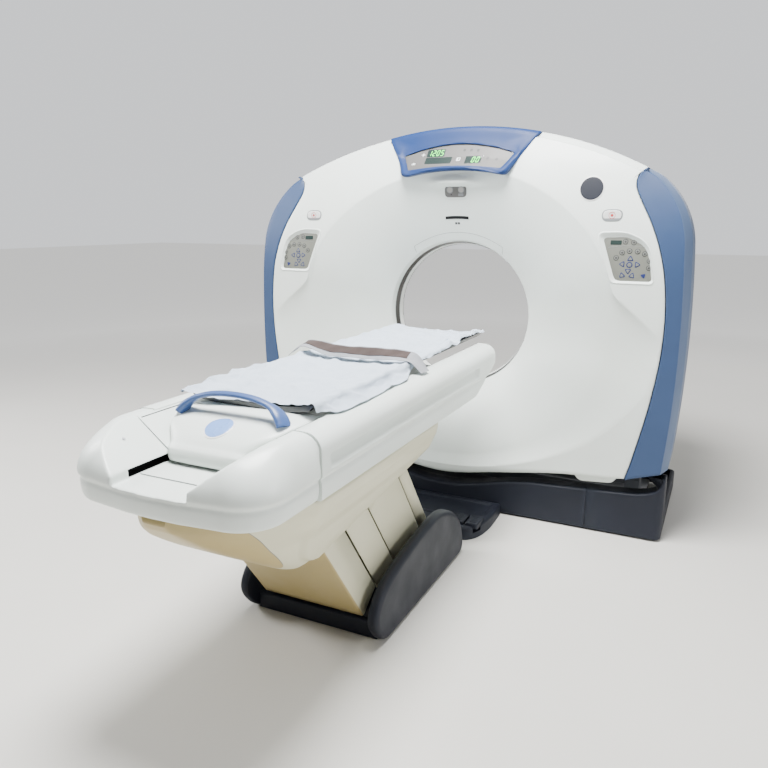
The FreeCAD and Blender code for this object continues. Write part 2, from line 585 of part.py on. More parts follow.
# Each slat or cover hangs on a pin at each side, in its own plane, beside the arms.
def linkPins(name, inner):
    return [rod(f"{name}Pin{side}", "x", (0, 0), "linkPin", low, high)
            for side, low, high in (("Right", inner, "pinEnd"), ("Left", "0 - pinEnd", -inner))]


def sidePlates(name, inner, thick, corners):
    return [prism(f"{name}Plate{side}", "YZ", low, low + thick, corners)
            for side, low in (("Right", inner), ("Left", -inner - thick))]


coverBody = newBody("LegCover")
pad(coverBody, "XY", 50, 560, [
    (-209, -37), (209, -37), (209, 81), (206, 81), (206, -33), (-206, -33), (-206, 81), (-209, 81)])
coverTabs = sidePlates("CoverTab", 206, 3, [(-12, -10), (12, -10), (45, 70), (-15, 70)])
node("leg_front_cover", leaned(fused("LegFront", coverBody, *coverTabs, *linkPins("Cover", 206)),
                               "coverPivot", "coverPivotHeight"))
backBody = newBody("LegBack")
pad(backBody, "XY", 10, 420, [
    (197, 0), (-197, 0), (-197, -73), (-194, -73), (-194, -4), (194, -4), (194, -73), (197, -73)])
backTabs = sidePlates("BackTab", 194, 3, [(-12, -10), (0, -10), (0, 20), (-12, 20)])
node("leg_rear_cover", leaned(fused("LegRear", backBody, *backTabs, *linkPins("Back", 194)),
                              "backPivot", "backPivotHeight"))
for name, pivot, inner, corners in (
        ("leg_slats_front", "slatFrontPivot", 202,
         [(-70, 30), (-12, -10), (12, -10), (78, 30), (78, 520), (-70, 520)]),
        ("leg_slats_rear", "slatRearPivot", 198,
         [(-106, 30), (-12, -10), (12, -10), (112, 30), (112, 500), (-106, 500)])):
    plates = sidePlates(name, inner, 3, corners)
    pins = linkPins(name, inner)
    pairs = [fused(f"{name}{side}", plate, pin) for side, plate, pin in zip(("Right", "Left"), plates, pins)]
    node(name, leaned(group(name + "Pair", *pairs), pivot, "pivotHeight"))

# Table top

liftSwing = math.sin(math.radians(dims["liftLean"])) * dims["liftLength"]
liftRise = math.cos(math.radians(dims["liftLean"])) * dims["liftLength"]
topPivots = [(dims["frontPivot"] - liftSwing, dims["pivotHeight"] + liftRise),
             (dims["rearPivot"] - liftSwing, dims["pivotHeight"] + liftRise)]
frameBeam = block("FrameBeam", (-160, 160), (-1840, -1145), (645, 716))
frameDeck = block("FrameDeck", (-160, 160), (-1840, -520), (716, 760))
frameLugs = []
for side, low, high in (("Right", "lugInner", "lugOuter"), ("Left", "0 - lugOuter", "0 - lugInner")):
    for place, (y, z) in enumerate(topPivots):
        frameLugs.append(prism(f"FrameLug{side}{place}", "YZ", low, high, [
            (y - 38, z, 38), (y + 38, z), (y + 60, 650), (y - 60, 650)],
            ("circle", y, z, "pinRadius + runningGap")))
node("table_frame", fused("TableFrame", frameBeam, frameDeck, *frameLugs))


def hull(name, inset):
    side = prism(f"{name}Side", "YZ", -400, 400, [
        (-2236 + inset, 714), (-2240 + inset, 700), (-2153 + inset, 612 + inset), (-2077 + inset, 558 + inset),
        (-1951 + inset, 478 + inset), (-1872 + inset, 434 + inset, 90), (-1790, 427 + inset),
        (-1100 - inset, 527 + inset), (-1128 - inset, 714)])
    section = prism(f"{name}Section", "XZ", -2300, -1000, [
        (225 - inset, 420), (243 - inset, 572), (300 - inset, 640), (f"hullHalf - {inset}", 714),
        (f"0 - hullHalf + {inset}", 714), (-300 + inset, 640), (-243 + inset, 572), (-225 + inset, 420)])
    plan = prism(f"{name}Plan", "XY", 300, 800, [
        (-330 + inset, -1000), (-330 + inset, -1960, 330), (-150, -2225 + inset, 900), (150, -2225 + inset, 330),
        (330 - inset, -1960), (330 - inset, -1000)])
    return shared(name, side, section, plan)


legRoom = block("LegRoom", (-213, 213), (-1790, -960), (380, 640))
node("belly_shell", cut("BellyShell", hull("HullOutside", 0), hull("HullInside", 6), legRoom))

endSlant = prism("EndSlant", "YZ", -400, 400, [(-424, 822), (-424, 690), (-720, 690), (-690, 717), (-650, 730)])
pockets = [block(f"SidePocket{side}", x, (-1885, -665), (796, 834))
           for side, x in (("Right", (318, 340)), ("Left", (-340, -318)))]
topSection = [
    ("tableHalf - 10", "tableBottom"), ("tableHalf", "tableBottom + 15"), ("tableHalf", "tableTop - 50", 50),
    ("tableHalf - 50", "tableTop"), ("troughHalf", "tableTop"), ("troughHalf", "troughFloor"),
    ("0 - troughHalf", "troughFloor"), ("0 - troughHalf", "tableTop"),
    ("50 - tableHalf", "tableTop", 50), ("0 - tableHalf", "tableTop - 50"),
    ("0 - tableHalf", "tableBottom + 15"), ("10 - tableHalf", "tableBottom")]
topHollow = [
    (316, "tableBottom - 5"), (316, "tableTop - 50", 38), (278, "tableTop - 12"),
    ("troughHalf + 6", "tableTop - 12"), ("troughHalf + 6", "troughFloor - 6"),
    ("0 - troughHalf - 6", "troughFloor - 6"), ("0 - troughHalf - 6", "tableTop - 12"),
    (-278, "tableTop - 12", 38), (-316, "tableTop - 50"), (-316, "tableBottom - 5")]
topBlank = prism("TopBlank", "XZ", "capSeam + 1", "tableEnd", topSection)
topRoom = prism("TopRoom", "XZ", "capSeam - 10", "tableEnd - 8", topHollow)
pocketWalls = [block(f"PocketWall{side}", x, (-1890, -660), (790, 840))
               for side, x in (("Right", (308, 317)), ("Left", (-317, -308)))]
topWalls = fused("TopWalls", cut("TopOpen", topBlank, topRoom), *pocketWalls)
topShell = cut("TopShell", topWalls, endSlant, *pockets)
node("table_top_shell", topShell)

capSide = prism("CapSide", "YZ", -400, 400, [
    ("capSeam", "tableBottom"), (-2222, "tableBottom", 60), (-2252, 750), (-2266, 790, 120), (-2222, 862, 90),
    (-2110, "tableTop"), ("capSeam", "tableTop")])
capPlan = prism("CapPlan", "XY", 600, 950, [
    ("0 - tableHalf", "capSeam"), ("0 - tableHalf", -2070, 160), (-190, -2245, 1000), (190, -2245, 160),
    ("tableHalf", -2070), ("tableHalf", "capSeam")])
capRoom = prism("CapRoom", "XZ", -2320, -1900, [
    ("0 - lipHalf", "troughFloor + 3"), ("lipHalf", "troughFloor + 3"), (240, "tableTop + 8"),
    (-240, "tableTop + 8")])
capSection = prism("CapSection", "XZ", -2320, "capSeam", [
    ("tableHalf - 10", "tableBottom"), ("tableHalf", 730), ("tableHalf", "tableTop - 50", 50),
    ("tableHalf - 50", "tableTop"), ("50 - tableHalf", "tableTop", 50),
    ("0 - tableHalf", "tableTop - 50"), ("0 - tableHalf", 730),
    ("10 - tableHalf", "tableBottom")])
capBlank = shared("CapBlank", capSide, capPlan, capSection)
capUnder = block("CapUnder", (-250, 250), (-2150, "capSeam + 10"), ("tableBottom - 5", "troughFloor - 6"))
capLiner = block("CapLinerRoom", (-241, 241), (-2160, "capSeam + 10"), ("troughFloor - 1", "tableTop + 10"))
node("table_end_cap", cut("TableEndCap", capBlank, capRoom, capUnder, capLiner))

linerRight = prism("LinerRight", "XZ", -2158, -460, [
    (238, 899), (234, 899), (124, 816), (124, 811), (238, 895)])
linerLeft = mirrored("LinerLeft", linerRight)
linerWalls = [block(f"LinerEdge{side}", x, (-2158, -460), ("troughFloor + 1", 897))
              for side, x in (("Right", (234, 240)), ("Left", (-240, -234)))]
linerFloor = block("LinerFloor", (-240, 240), (-2158, -460), ("troughFloor + 1", "troughFloor + 5"))
node("channel_liner", fused("ChannelLiner", linerRight, linerLeft, *linerWalls, linerFloor))

# Cradle, carriage cover, handle, sheet and strap

cradleBody = newBody("CradleBoard")
pad(cradleBody, "XZ", "cradleFoot", "cradleEnd", [
    ("0 - cradleHalf", "cradleTop"), (-205, "cradleTop - 22"), (-100, "cradleTop - 35"),
    (100, "cradleTop - 35"), (205, "cradleTop - 22"), ("cradleHalf", "cradleTop"),
    (180, "cradleTop - 10"), (100, "cradleTop - 17"), (-100, "cradleTop - 17"), (-180, "cradleTop - 10")])
node("cradle", cradleBody)

coverSide = prism("CoverSide", "YZ", -300, 300, [
    (-2046, 792), (-1790, 792), (-1790, 902), (-1860, 898, 520), (-2034, 840, 30), (-2056, 814)])
coverSection = prism("CoverSection", "XZ", -2200, -1700, [
    (-108, 790), (108, 790), (108, 824), (230, 912), (-230, 912), (-108, 824)])
coverPlan = prism("CoverPlan", "XY", 780, 950, [
    ("0 - coverHalf", -1780), ("0 - coverHalf", -1880, 340), (-90, -2044, 420), (90, -2044, 340),
    ("coverHalf", -1880), ("coverHalf", -1780)])
carriageCover = shared("CarriageCover", coverSide, coverSection, coverPlan)
carriageArm = block("CarriageArm", (-100, 100), (-1840, -1790), (825, 902))
node("carriage_cover", fused("Carriage", carriageCover, carriageArm))


# The handle is a bowed tube that springs from two flared feet.
def handleSweep():
    reach, bow, tube = dims["handleReach"], dims["handleRadius"], dims["handleTube"]
    y, low = -1895, 893
    rise = bow - math.sqrt(bow * bow - reach * reach)
    start, crown, end = (FreeCAD.Vector(x, y, z) for x, z in ((-reach, low), (0, low + rise), (reach, low)))
    path = Part.Wire([Part.Arc(start, crown, end).toShape()])
    tangent = path.Edges[0].tangentAt(path.Edges[0].FirstParameter)
    ring = Part.Wire([Part.Circle(start, tangent, tube).toShape()])
    bowed = path.makePipeShell([ring], True, False)
    feet = [Part.makeCylinder(18, 16, FreeCAD.Vector(x, y, low - 6)) for x in (-reach, reach)]
    handle = doc.addObject("Part::Feature", "GrabHandle")
    handle.Shape = bowed.fuse(feet).removeSplitter()
    return handle


node("grab_handle", handleSweep())

sheetBody = newBody("SheetSolid")
pad(sheetBody, "XZ", "cradleFoot - 20", "cradleEnd + 4", [
    (-292, 906), (-236, 920), ("0 - cradleHalf", "cradleTop + 0.4"), (-180, "cradleTop - 9"),
    (-100, "cradleTop - 16"),
    (100, "cradleTop - 16"), (180, "cradleTop - 9"), ("cradleHalf", "cradleTop + 0.4"), (236, 920), (292, 906),
    (292, 912), (240, 928), ("cradleHalf", "cradleTop + 6"), (100, "cradleTop - 8"),
    (-100, "cradleTop - 8"), ("0 - cradleHalf", "cradleTop + 6"), (-240, 928), (-292, 912)])
node("sheet", sheetBody)
strapBody = newBody("StrapSolid")
pad(strapBody, "XZ", -1190, -1130, [
    (-300, 914), (-242, 930), (-226, "cradleTop + 8"), (-100, "cradleTop - 6"), (100, "cradleTop - 6"),
    (226, "cradleTop + 8"), (242, 930), (300, 914), (300, 918), (244, 934), (228, "cradleTop + 12"),
    (100, "cradleTop - 2"), (-100, "cradleTop - 2"), (-228, "cradleTop + 12"), (-244, 934), (-300, 918)])
node("strap", strapBody)

# Checks and export

doc.recompute()
failed = [item.Label for item in doc.Objects if {"Invalid", "Error"} & set(item.State)]
failed += [name for name, solid in nodes.items() if solid.Shape.isNull() or not solid.Shape.isValid()]
if failed:
    raise RuntimeError(f"these objects failed: {failed}")
os.makedirs("parts", exist_ok=True)
for name, solid in nodes.items():
    solid.Shape.exportStep(f"parts/{name}.step")
    print(name, len(solid.Shape.Solids), round(solid.Shape.Volume / 1e6, 3))
print(len(nodes), "nodes")
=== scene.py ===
import bpy
import bmesh
import json
import math
import numpy as np
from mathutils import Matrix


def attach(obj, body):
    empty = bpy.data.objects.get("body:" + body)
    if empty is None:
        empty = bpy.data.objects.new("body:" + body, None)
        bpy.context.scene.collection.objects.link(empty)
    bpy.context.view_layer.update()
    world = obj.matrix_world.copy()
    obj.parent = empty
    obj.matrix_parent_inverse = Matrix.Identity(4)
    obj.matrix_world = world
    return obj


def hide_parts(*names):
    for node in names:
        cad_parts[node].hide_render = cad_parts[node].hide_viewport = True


# A hospital CT scanner: gantry, plinth and patient table, dressed over its construction frame.
# X is to the right facing the gantry, Y runs into the gantry, Z is up, all in metres.

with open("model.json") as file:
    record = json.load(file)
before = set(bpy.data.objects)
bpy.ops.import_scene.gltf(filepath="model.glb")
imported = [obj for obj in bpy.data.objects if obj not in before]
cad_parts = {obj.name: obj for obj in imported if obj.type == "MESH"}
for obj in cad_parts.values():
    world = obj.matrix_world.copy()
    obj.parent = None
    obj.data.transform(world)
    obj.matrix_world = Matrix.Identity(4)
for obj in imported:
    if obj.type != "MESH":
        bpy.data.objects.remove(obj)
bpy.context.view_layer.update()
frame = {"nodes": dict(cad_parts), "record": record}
print("frame loaded:", len(frame["nodes"]), "nodes")

scanCentre = np.array([0.0, 0.0, 0.977])  # where the bore axis meets the scan plane
sideName = {1: "Right", -1: "Left"}


# helpers

def smoothStep(value, low, high):
    # rises from 0 at low to 1 at high with no slope at either end
    t = np.clip((value - low) / (high - low), 0, 1)
    return t * t * (3 - 2 * t)


def smoothPath(points, steps=8, closed=False):
    # Catmull-Rom: each stretch is the cubic whose end slopes are half the chord of its neighbours
    p = np.asarray(points, float)
    p = np.vstack([p[-1:], p, p[:2]]) if closed else np.vstack([2 * p[0] - p[1], p, 2 * p[-1] - p[-2]])
    t = np.linspace(0, 1, steps, endpoint=False)[None, :, None]
    a, b, c, d = (p[k:len(p) - 3 + k, None, :] for k in range(4))
    curve = 0.5 * (2 * b + (c - a) * t + (2 * a - 5 * b + 4 * c - d) * t**2 + (3 * b - a - 3 * c + d) * t**3)
    curve = curve.reshape(-1, p.shape[1])
    return curve if closed else np.vstack([curve, p[-2:-1]])


def arcPoints(start, end, radius, count=24):
    # points of the arc from start to end, with its centre on the left for a positive radius
    start, end = np.asarray(start, float), np.asarray(end, float)
    chord = end - start
    left = np.array([-chord[1], chord[0]]) / np.hypot(*chord)
    reach = math.sqrt(max(radius**2 - chord @ chord / 4, 0))
    centre = (start + end) / 2 + left * math.copysign(reach, radius)
    first, last = (math.atan2(*(p - centre)[::-1]) for p in (start, end))
    turn = (last - first) % math.tau if radius > 0 else -((first - last) % math.tau)
    angle = first + turn * np.linspace(0, 1, count)
    return centre + abs(radius) * np.column_stack([np.cos(angle), np.sin(angle)])


def roundedLoop(corners, radius, steps=6):
    # each corner becomes a quadratic curve that starts and ends up to radius away from it
    corners = np.asarray(corners, float)
    before = np.roll(corners, 1, 0) - corners
    after = np.roll(corners, -1, 0) - corners
    radii = np.broadcast_to(np.asarray(radius, float), len(corners))
    lengths = [np.linalg.norm(side, axis=1) for side in (before, after)]
    cut = [np.minimum(radii, 0.48 * length)[:, None] for length in lengths]
    start = corners + before / lengths[0][:, None] * cut[0]
    end = corners + after / lengths[1][:, None] * cut[1]
    t = np.linspace(0, 1, steps)[None, :, None]
    curve = (1 - t)**2 * start[:, None] + 2 * t * (1 - t) * corners[:, None] + t**2 * end[:, None]
    return curve.reshape(-1, 2)


def evenLoop(loop, count):
    # the closed outline again, at equal steps of its own length
    closed = np.vstack([loop, loop[:1]])
    along = np.concatenate([[0], np.cumsum(np.linalg.norm(np.diff(closed, axis=0), axis=1))])
    places = np.linspace(0, along[-1], count, endpoint=False)
    return np.column_stack([np.interp(places, along, closed[:, k]) for k in range(loop.shape[1])])


def roundRect(x, z, width, height, corner=0.003):
    box = [(x - width / 2, z - height / 2), (x + width / 2, z - height / 2),
           (x + width / 2, z + height / 2), (x - width / 2, z + height / 2)]
    return evenLoop(roundedLoop(box, corner), 48)


def atHeight(plan, height):
    return np.column_stack([plan, np.full(len(plan), height)])


def circleLoop(x, z, radius, count=28):
    angle = np.linspace(0, math.tau, count, endpoint=False)
    return np.column_stack([x + radius * np.cos(angle), z + radius * np.sin(angle)])


def insetLoop(loop, amount):
    # moves each point of an anticlockwise outline inwards, square to its two neighbours
    along = np.roll(loop, -1, 0) - np.roll(loop, 1, 0)
    inward = np.column_stack([-along[:, 1], along[:, 0]])
    return loop + amount * inward / np.linalg.norm(inward, axis=1)[:, None]


def anticlockwise(loop):
    x, y = loop[:, 0], loop[:, 1]
    area = np.sum(x * np.roll(y, -1) - y * np.roll(x, -1))
    return loop if area > 0 else loop[::-1]


def newPiece(name, vertices, faces, material, body, facing=None, sharp=34):
    # joins the seams and poles, turns the faces outwards and sets the piece riding on its body
    mesh = bpy.data.meshes.new(name)
    mesh.from_pydata(np.asarray(vertices, float).tolist(), [], np.asarray(faces).tolist())
    shape = bmesh.new()
    shape.from_mesh(mesh)
    bmesh.ops.remove_doubles(shape, verts=shape.verts, dist=2e-5)
    bmesh.ops.dissolve_degenerate(shape, edges=shape.edges, dist=1e-6)
    bmesh.ops.recalc_face_normals(shape, faces=shape.faces)
    if facing is not None:
        lean = sum(face.calc_area() * sum(n * f for n, f in zip(face.normal, facing)) for face in shape.faces)
        if lean < 0:
            bmesh.ops.reverse_faces(shape, faces=shape.faces)
    shape.to_mesh(mesh)
    shape.free()
    mesh.shade_smooth()
    mesh.set_sharp_from_angle(angle=math.radians(sharp))
    mesh.materials.append(finishes[material])
    piece = bpy.data.objects.new(name, mesh)
    bpy.context.collection.objects.link(piece)
    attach(piece, body)
    return piece


def gridFaces(rows, cols, closedRows=False, closedCols=False):
    index = np.arange(rows * cols).reshape(rows, cols)
    corners = [index, np.roll(index, -1, 0), np.roll(np.roll(index, -1, 0), -1, 1), np.roll(index, -1, 1)]
    quads = np.stack(corners, -1)
    quads = quads if closedRows else quads[:-1]
    quads = quads if closedCols else quads[:, :-1]
    return quads.reshape(-1, 4)


def paint(piece, numbers):
    # gives every face its material's number at once; faces added since then keep the last number
    full = np.full(len(piece.data.polygons), numbers[-1], np.int32)
    full[:len(numbers)] = numbers[:len(full)]
    piece.data.polygons.foreach_set("material_index", full)


def faceCentres(piece):
    flat = np.empty(3 * len(piece.data.polygons), np.float32)
    piece.data.polygons.foreach_get("center", flat)
    return flat.reshape(-1, 3)


def gridPiece(name, points, material, body, closedRows=False, closedCols=False, facing=None, wall=0,
              sharp=34):
    # a surface from a grid of points; a wall gives it thickness away from its face
    rows, cols = points.shape[:2]
    faces = gridFaces(rows, cols, closedRows, closedCols)
    piece = newPiece(name, points.reshape(-1, 3), faces, material, body, facing, sharp)
    if wall:
        solidify = piece.modifiers.new("wall", "SOLIDIFY")
        solidify.thickness = wall
        solidify.offset = -1
    return piece


def settle(piece, sharp=34):
    # the piece's modifiers become part of its mesh
    bpy.context.view_layer.update()
    evaluated = piece.evaluated_get(bpy.context.evaluated_depsgraph_get())
    mesh = bpy.data.meshes.new_from_object(evaluated)
    piece.modifiers.clear()
    piece.data = mesh
    mesh.shade_smooth()
    mesh.set_sharp_from_angle(angle=math.radians(sharp))
    return piece


def solidOf(name, loops, material, body, sharp=34):
    # a closed form skinned over a stack of outlines, each closed, with its first and last filled
    stack = np.asarray(loops)
    middle = stack.mean(1, keepdims=True)
    ends = [np.broadcast_to(middle[k], stack[k].shape)[None] for k in (0, -1)]
    points = np.concatenate([ends[0], stack, ends[1]])
    return gridPiece(name, points, material, body, closedCols=True, sharp=sharp)


def roundEdge(edge, steps, deep=1.0):
    # a quarter circle from the side to the face, as (inward, depth)
    return [(edge * (1 - math.cos(a)), edge * (1 - math.sin(a)) * deep)
            for a in np.linspace(0, math.pi / 2, steps)]


def panelRings(loop, layers, edge, rings):
    # each layer's outline and depth, then the face's outlines shrinking to its middle
    loop = anticlockwise(np.asarray(loop, float))
    inner, middle = insetLoop(loop, edge), loop.mean(0)
    sides = [(insetLoop(loop, inward), depth, False) for inward, depth in layers]
    return sides + [(middle + (inner - middle) * share, 0.0, True)
                    for share in np.linspace(1, 0, rings + 1)[1:]]


def closedPanel(name, stack, material, body, sharp):
    back = np.broadcast_to(stack[0].mean(0), stack[0].shape)
    return gridPiece(name, np.array([back, *stack]), material, body, closedCols=True, sharp=sharp)


def plate(name, loop, front, thick, edge, material, body, rings=8, sharp=34):
    # a panel facing -Y: front(x, z) is its face, its rim rounds back by edge, and its back is flat
    layers = [(0.0, thick), *roundEdge(edge, 5)]
    stack = [np.column_stack([ring[:, 0], front(ring[:, 0], ring[:, 1]) + depth, ring[:, 1]])
             for ring, depth, _ in panelRings(loop, layers, edge, rings)]
    return closedPanel(name, stack, material, body, sharp)


def roundBore(angle, radius, depth):
    # places at a turn about the bore axis, a distance from it and a depth along it
    places = radius * np.cos(angle), depth, scanCentre[2] + radius * np.sin(angle)
    return np.stack(np.broadcast_arrays(*places), -1)


def turnedPiece(name, profile, material, body, count=180):
    # spins a closed profile of (y, radius) points about the bore axis
    depth, radius = np.asarray(profile, float).T
    angle = np.linspace(0, math.tau, count, endpoint=False)[:, None]
    return gridPiece(name, roundBore(angle, radius, depth), material, body, True, True)


def tubePiece(name, path, radius, material, body, sides=12, flat=1.0, closed=False):
    # a circle of the given radius carried along a path, on frames turned as little as can be
    path = np.asarray(path, float)
    if closed:
        along = np.roll(path, -1, 0) - np.roll(path, 1, 0)
    else:
        along = np.gradient(path, axis=0)
    along /= np.linalg.norm(along, axis=1)[:, None]
    guide = np.array([0, 0, 1.0]) if abs(along[:, 2]).max() < 0.95 else np.array([0.3, 1.0, 0.1])
    side = np.cross(along, guide)
    side /= np.linalg.norm(side, axis=1)[:, None]
    up = np.cross(side, along)
    angle = np.linspace(0, math.tau, sides, endpoint=False)
    radius = np.broadcast_to(np.asarray(radius, float), len(path))[:, None, None]
    ring = np.cos(angle)[None, :, None] * side[:, None] + flat * np.sin(angle)[None, :, None] * up[:, None]
    points = path[:, None] + radius * ring
    if not closed:
        points = np.concatenate([np.broadcast_to(path[:1, None], points[:1].shape), points,
                                 np.broadcast_to(path[-1:, None], points[:1].shape)])
    return gridPiece(name, points, material, body, closed, True)


def cutFrom(piece, cutters):
    # takes closed forms out of a piece and keeps the result as its mesh
    for cutter in cutters:
        boolean = piece.modifiers.new("cut", "BOOLEAN")
        boolean.operation = "DIFFERENCE"
        boolean.solver = "EXACT"
        boolean.object = cutter
    settle(piece)
    for cutter in cutters:
        bpy.data.objects.remove(cutter)
    return piece


def softened(piece, voxel, smooth=6):
    # remeshes a closed form into small even faces and eases its edges round
    remesh = piece.modifiers.new("even", "REMESH")
    remesh.mode = "VOXEL"
    remesh.voxel_size = voxel
    ease = piece.modifiers.new("ease", "SMOOTH")
    ease.factor = 0.5
    ease.iterations = smooth
    return settle(piece, 60)


# materials

def addNode(tree, kind, inputs=None, **settings):
    made = tree.nodes.new(kind)
    for key, setting in settings.items():
        setattr(made, key, setting)
    for key, given in (inputs or {}).items():
        if isinstance(given, bpy.types.NodeSocket):
            tree.links.new(given, made.inputs[key])
        else:
            made.inputs[key].default_value = given
    return made


def startMaterial(name, rough, metal=0.0, coat=0.0, specular=0.5):
    material = bpy.data.materials.new(name)
    material.use_nodes = True
    tree = material.node_tree
    shader = tree.nodes["Principled BSDF"]
    shader.inputs["Roughness"].default_value = rough
    shader.inputs["Metallic"].default_value = metal
    shader.inputs["Coat Weight"].default_value = coat
    shader.inputs["Coat Roughness"].default_value = 0.12
    shader.inputs["Specular IOR Level"].default_value = specular
    place = addNode(tree, "ShaderNodeTexCoord").outputs["Object"]
    return material, tree, shader, place


def blendColours(tree, factor, first, second):
    mix = addNode(tree, "ShaderNodeMix", data_type="RGBA")
    tree.links.new(factor, mix.inputs["Factor"])
    mix.inputs["A"].default_value = (*first, 1)
    mix.inputs["B"].default_value = (*second, 1)
    return mix.outputs["Result"]


def noise(tree, place, scale, detail=3.0, rough=0.5):
    inputs = {"Vector": place, "Scale": scale, "Detail": detail, "Roughness": rough}
    return addNode(tree, "ShaderNodeTexNoise", inputs).outputs["Fac"]


def remap(tree, value, low, high, outLow, outHigh):
    inputs = {"Value": value, "From Min": low, "From Max": high, "To Min": outLow, "To Max": outHigh}
    return addNode(tree, "ShaderNodeMapRange", inputs).outputs["Result"]


def bumpFrom(tree, shader, height, strength, distance):
    bump = addNode(tree, "ShaderNodeBump", {"Height": height, "Strength": strength, "Distance": distance})
    tree.links.new(bump.outputs["Normal"], shader.inputs["Normal"])


def mouldedPlastic(name, colour, shade, rough=0.42, grain=900, depth=0.00012, coat=0.0, worn=None,
                   specular=0.5):
    # painted or moulded plastic: broad tone drift, fine grain in the gloss and the bump, worn edges
    material, tree, shader, place = startMaterial(name, rough, coat=coat, specular=specular)
    drift = remap(tree, noise(tree, place, 2.2, 5.0, 0.6), 0.35, 0.68, 0, 1)
    tone = blendColours(tree, drift, colour, shade)
    if worn:
        edge = addNode(tree, "ShaderNodeNewGeometry").outputs["Pointiness"]
        rub = remap(tree, edge, 0.53, 0.6, 0, 0.55)
        mix = addNode(tree, "ShaderNodeMix", {"Factor": rub, "A": tone}, data_type="RGBA")
        mix.inputs["B"].default_value = (*worn, 1)
        tone = mix.outputs["Result"]
    tree.links.new(tone, shader.inputs["Base Color"])
    speck = noise(tree, place, grain, 2.0)
    gloss = remap(tree, noise(tree, place, 9, 4.0), 0.3, 0.7, rough - 0.05, rough + 0.08)
    tree.links.new(gloss, shader.inputs["Roughness"])
    bumpFrom(tree, shader, speck, 0.35, depth)
    return material


def metalFinish(name, colour, shade, rough=0.35, stretch=(4, 4, 260)):
    # brushed or cast metal: fine lines stretched along one way over a slow change of tone
    material, tree, shader, place = startMaterial(name, rough, metal=0.9)
    lines = addNode(tree, "ShaderNodeMapping", {"Vector": place, "Scale": stretch}).outputs["Vector"]
    brushed = noise(tree, lines, 6, 3.0)
    tree.links.new(blendColours(tree, brushed, colour, shade), shader.inputs["Base Color"])
    tree.links.new(remap(tree, brushed, 0.3, 0.7, rough - 0.08, rough + 0.12), shader.inputs["Roughness"])
    bumpFrom(tree, shader, brushed, 0.2, 0.0002)
    return material


def steelPaint(name, colour, shade):
    # thick paint on steel: orange-peel bump and slight dust tone
    material, tree, shader, place = startMaterial(name, 0.45, coat=0.2)
    dust = remap(tree, noise(tree, place, 5, 6.0), 0.4, 0.75, 0, 1)
    tree.links.new(blendColours(tree, dust, colour, shade), shader.inputs["Base Color"])
    bumpFrom(tree, shader, noise(tree, place, 320, 2.0), 0.25, 0.0004)
    return material


def wovenCloth(name, colour, shade, threads=1100, sheen=0.3, soft=0.9, crease=0.0):
    # two sets of crossing threads in the bump, with thin places in the tone and creases added to the bump
    material, tree, shader, place = startMaterial(name, soft, specular=0.2)
    shader.inputs["Sheen Weight"].default_value = sheen
    tone = remap(tree, noise(tree, place, 14, 6.0, 0.65), 0.35, 0.7, 0, 1)
    tree.links.new(blendColours(tree, tone, colour, shade), shader.inputs["Base Color"])
    waves = []
    for direction in ("X", "Y"):
        wave = addNode(tree, "ShaderNodeTexWave",
                       {"Vector": place, "Scale": threads / 6.28, "Distortion": 0.6},
                       bands_direction=direction)
        waves.append(wave.outputs["Fac"])
    weave = addNode(tree, "ShaderNodeMath", {0: waves[0], 1: waves[1]}, operation="MAXIMUM").outputs[0]
    if crease:
        fold = noise(tree, place, 18, 8.0, 0.7)
        weave = addNode(tree, "ShaderNodeMath", {0: fold, 1: crease, 2: weave},
                        operation="MULTIPLY_ADD").outputs[0]
    bumpFrom(tree, shader, weave, 0.3 + 0.06 * crease, 0.0005 + 0.0001 * crease)
    return material


def carbonSkin(name):
    # dark woven composite under clear resin: a 2 mm diagonal check of two near-black tones
    material, tree, shader, place = startMaterial(name, 0.3, coat=0.6)
    turned = addNode(tree, "ShaderNodeMapping", {"Vector": place, "Rotation": (0, 0, math.pi / 4)})
    checks = addNode(tree, "ShaderNodeTexChecker", {"Vector": turned.outputs["Vector"], "Scale": 480})
    tree.links.new(blendColours(tree, checks.outputs["Fac"], (0.012, 0.012, 0.014), (0.03, 0.03, 0.034)),
                   shader.inputs["Base Color"])
    bumpFrom(tree, shader, checks.outputs["Fac"], 0.2, 0.0002)
    return material


def litGlass(name, colour, strength, shade=None):
    # a lamp behind tinted plastic: an even glow broken by fine cells
    material, tree, shader, place = startMaterial(name, 0.3)
    cells = remap(tree, noise(tree, place, 700, 1.0), 0.3, 0.7, 0, 1)
    tone = blendColours(tree, cells, colour, shade or tuple(0.8 * c for c in colour))
    tree.links.new(tone, shader.inputs["Base Color"])
    tree.links.new(tone, shader.inputs["Emission Color"])
    shader.inputs["Emission Strength"].default_value = strength
    return material


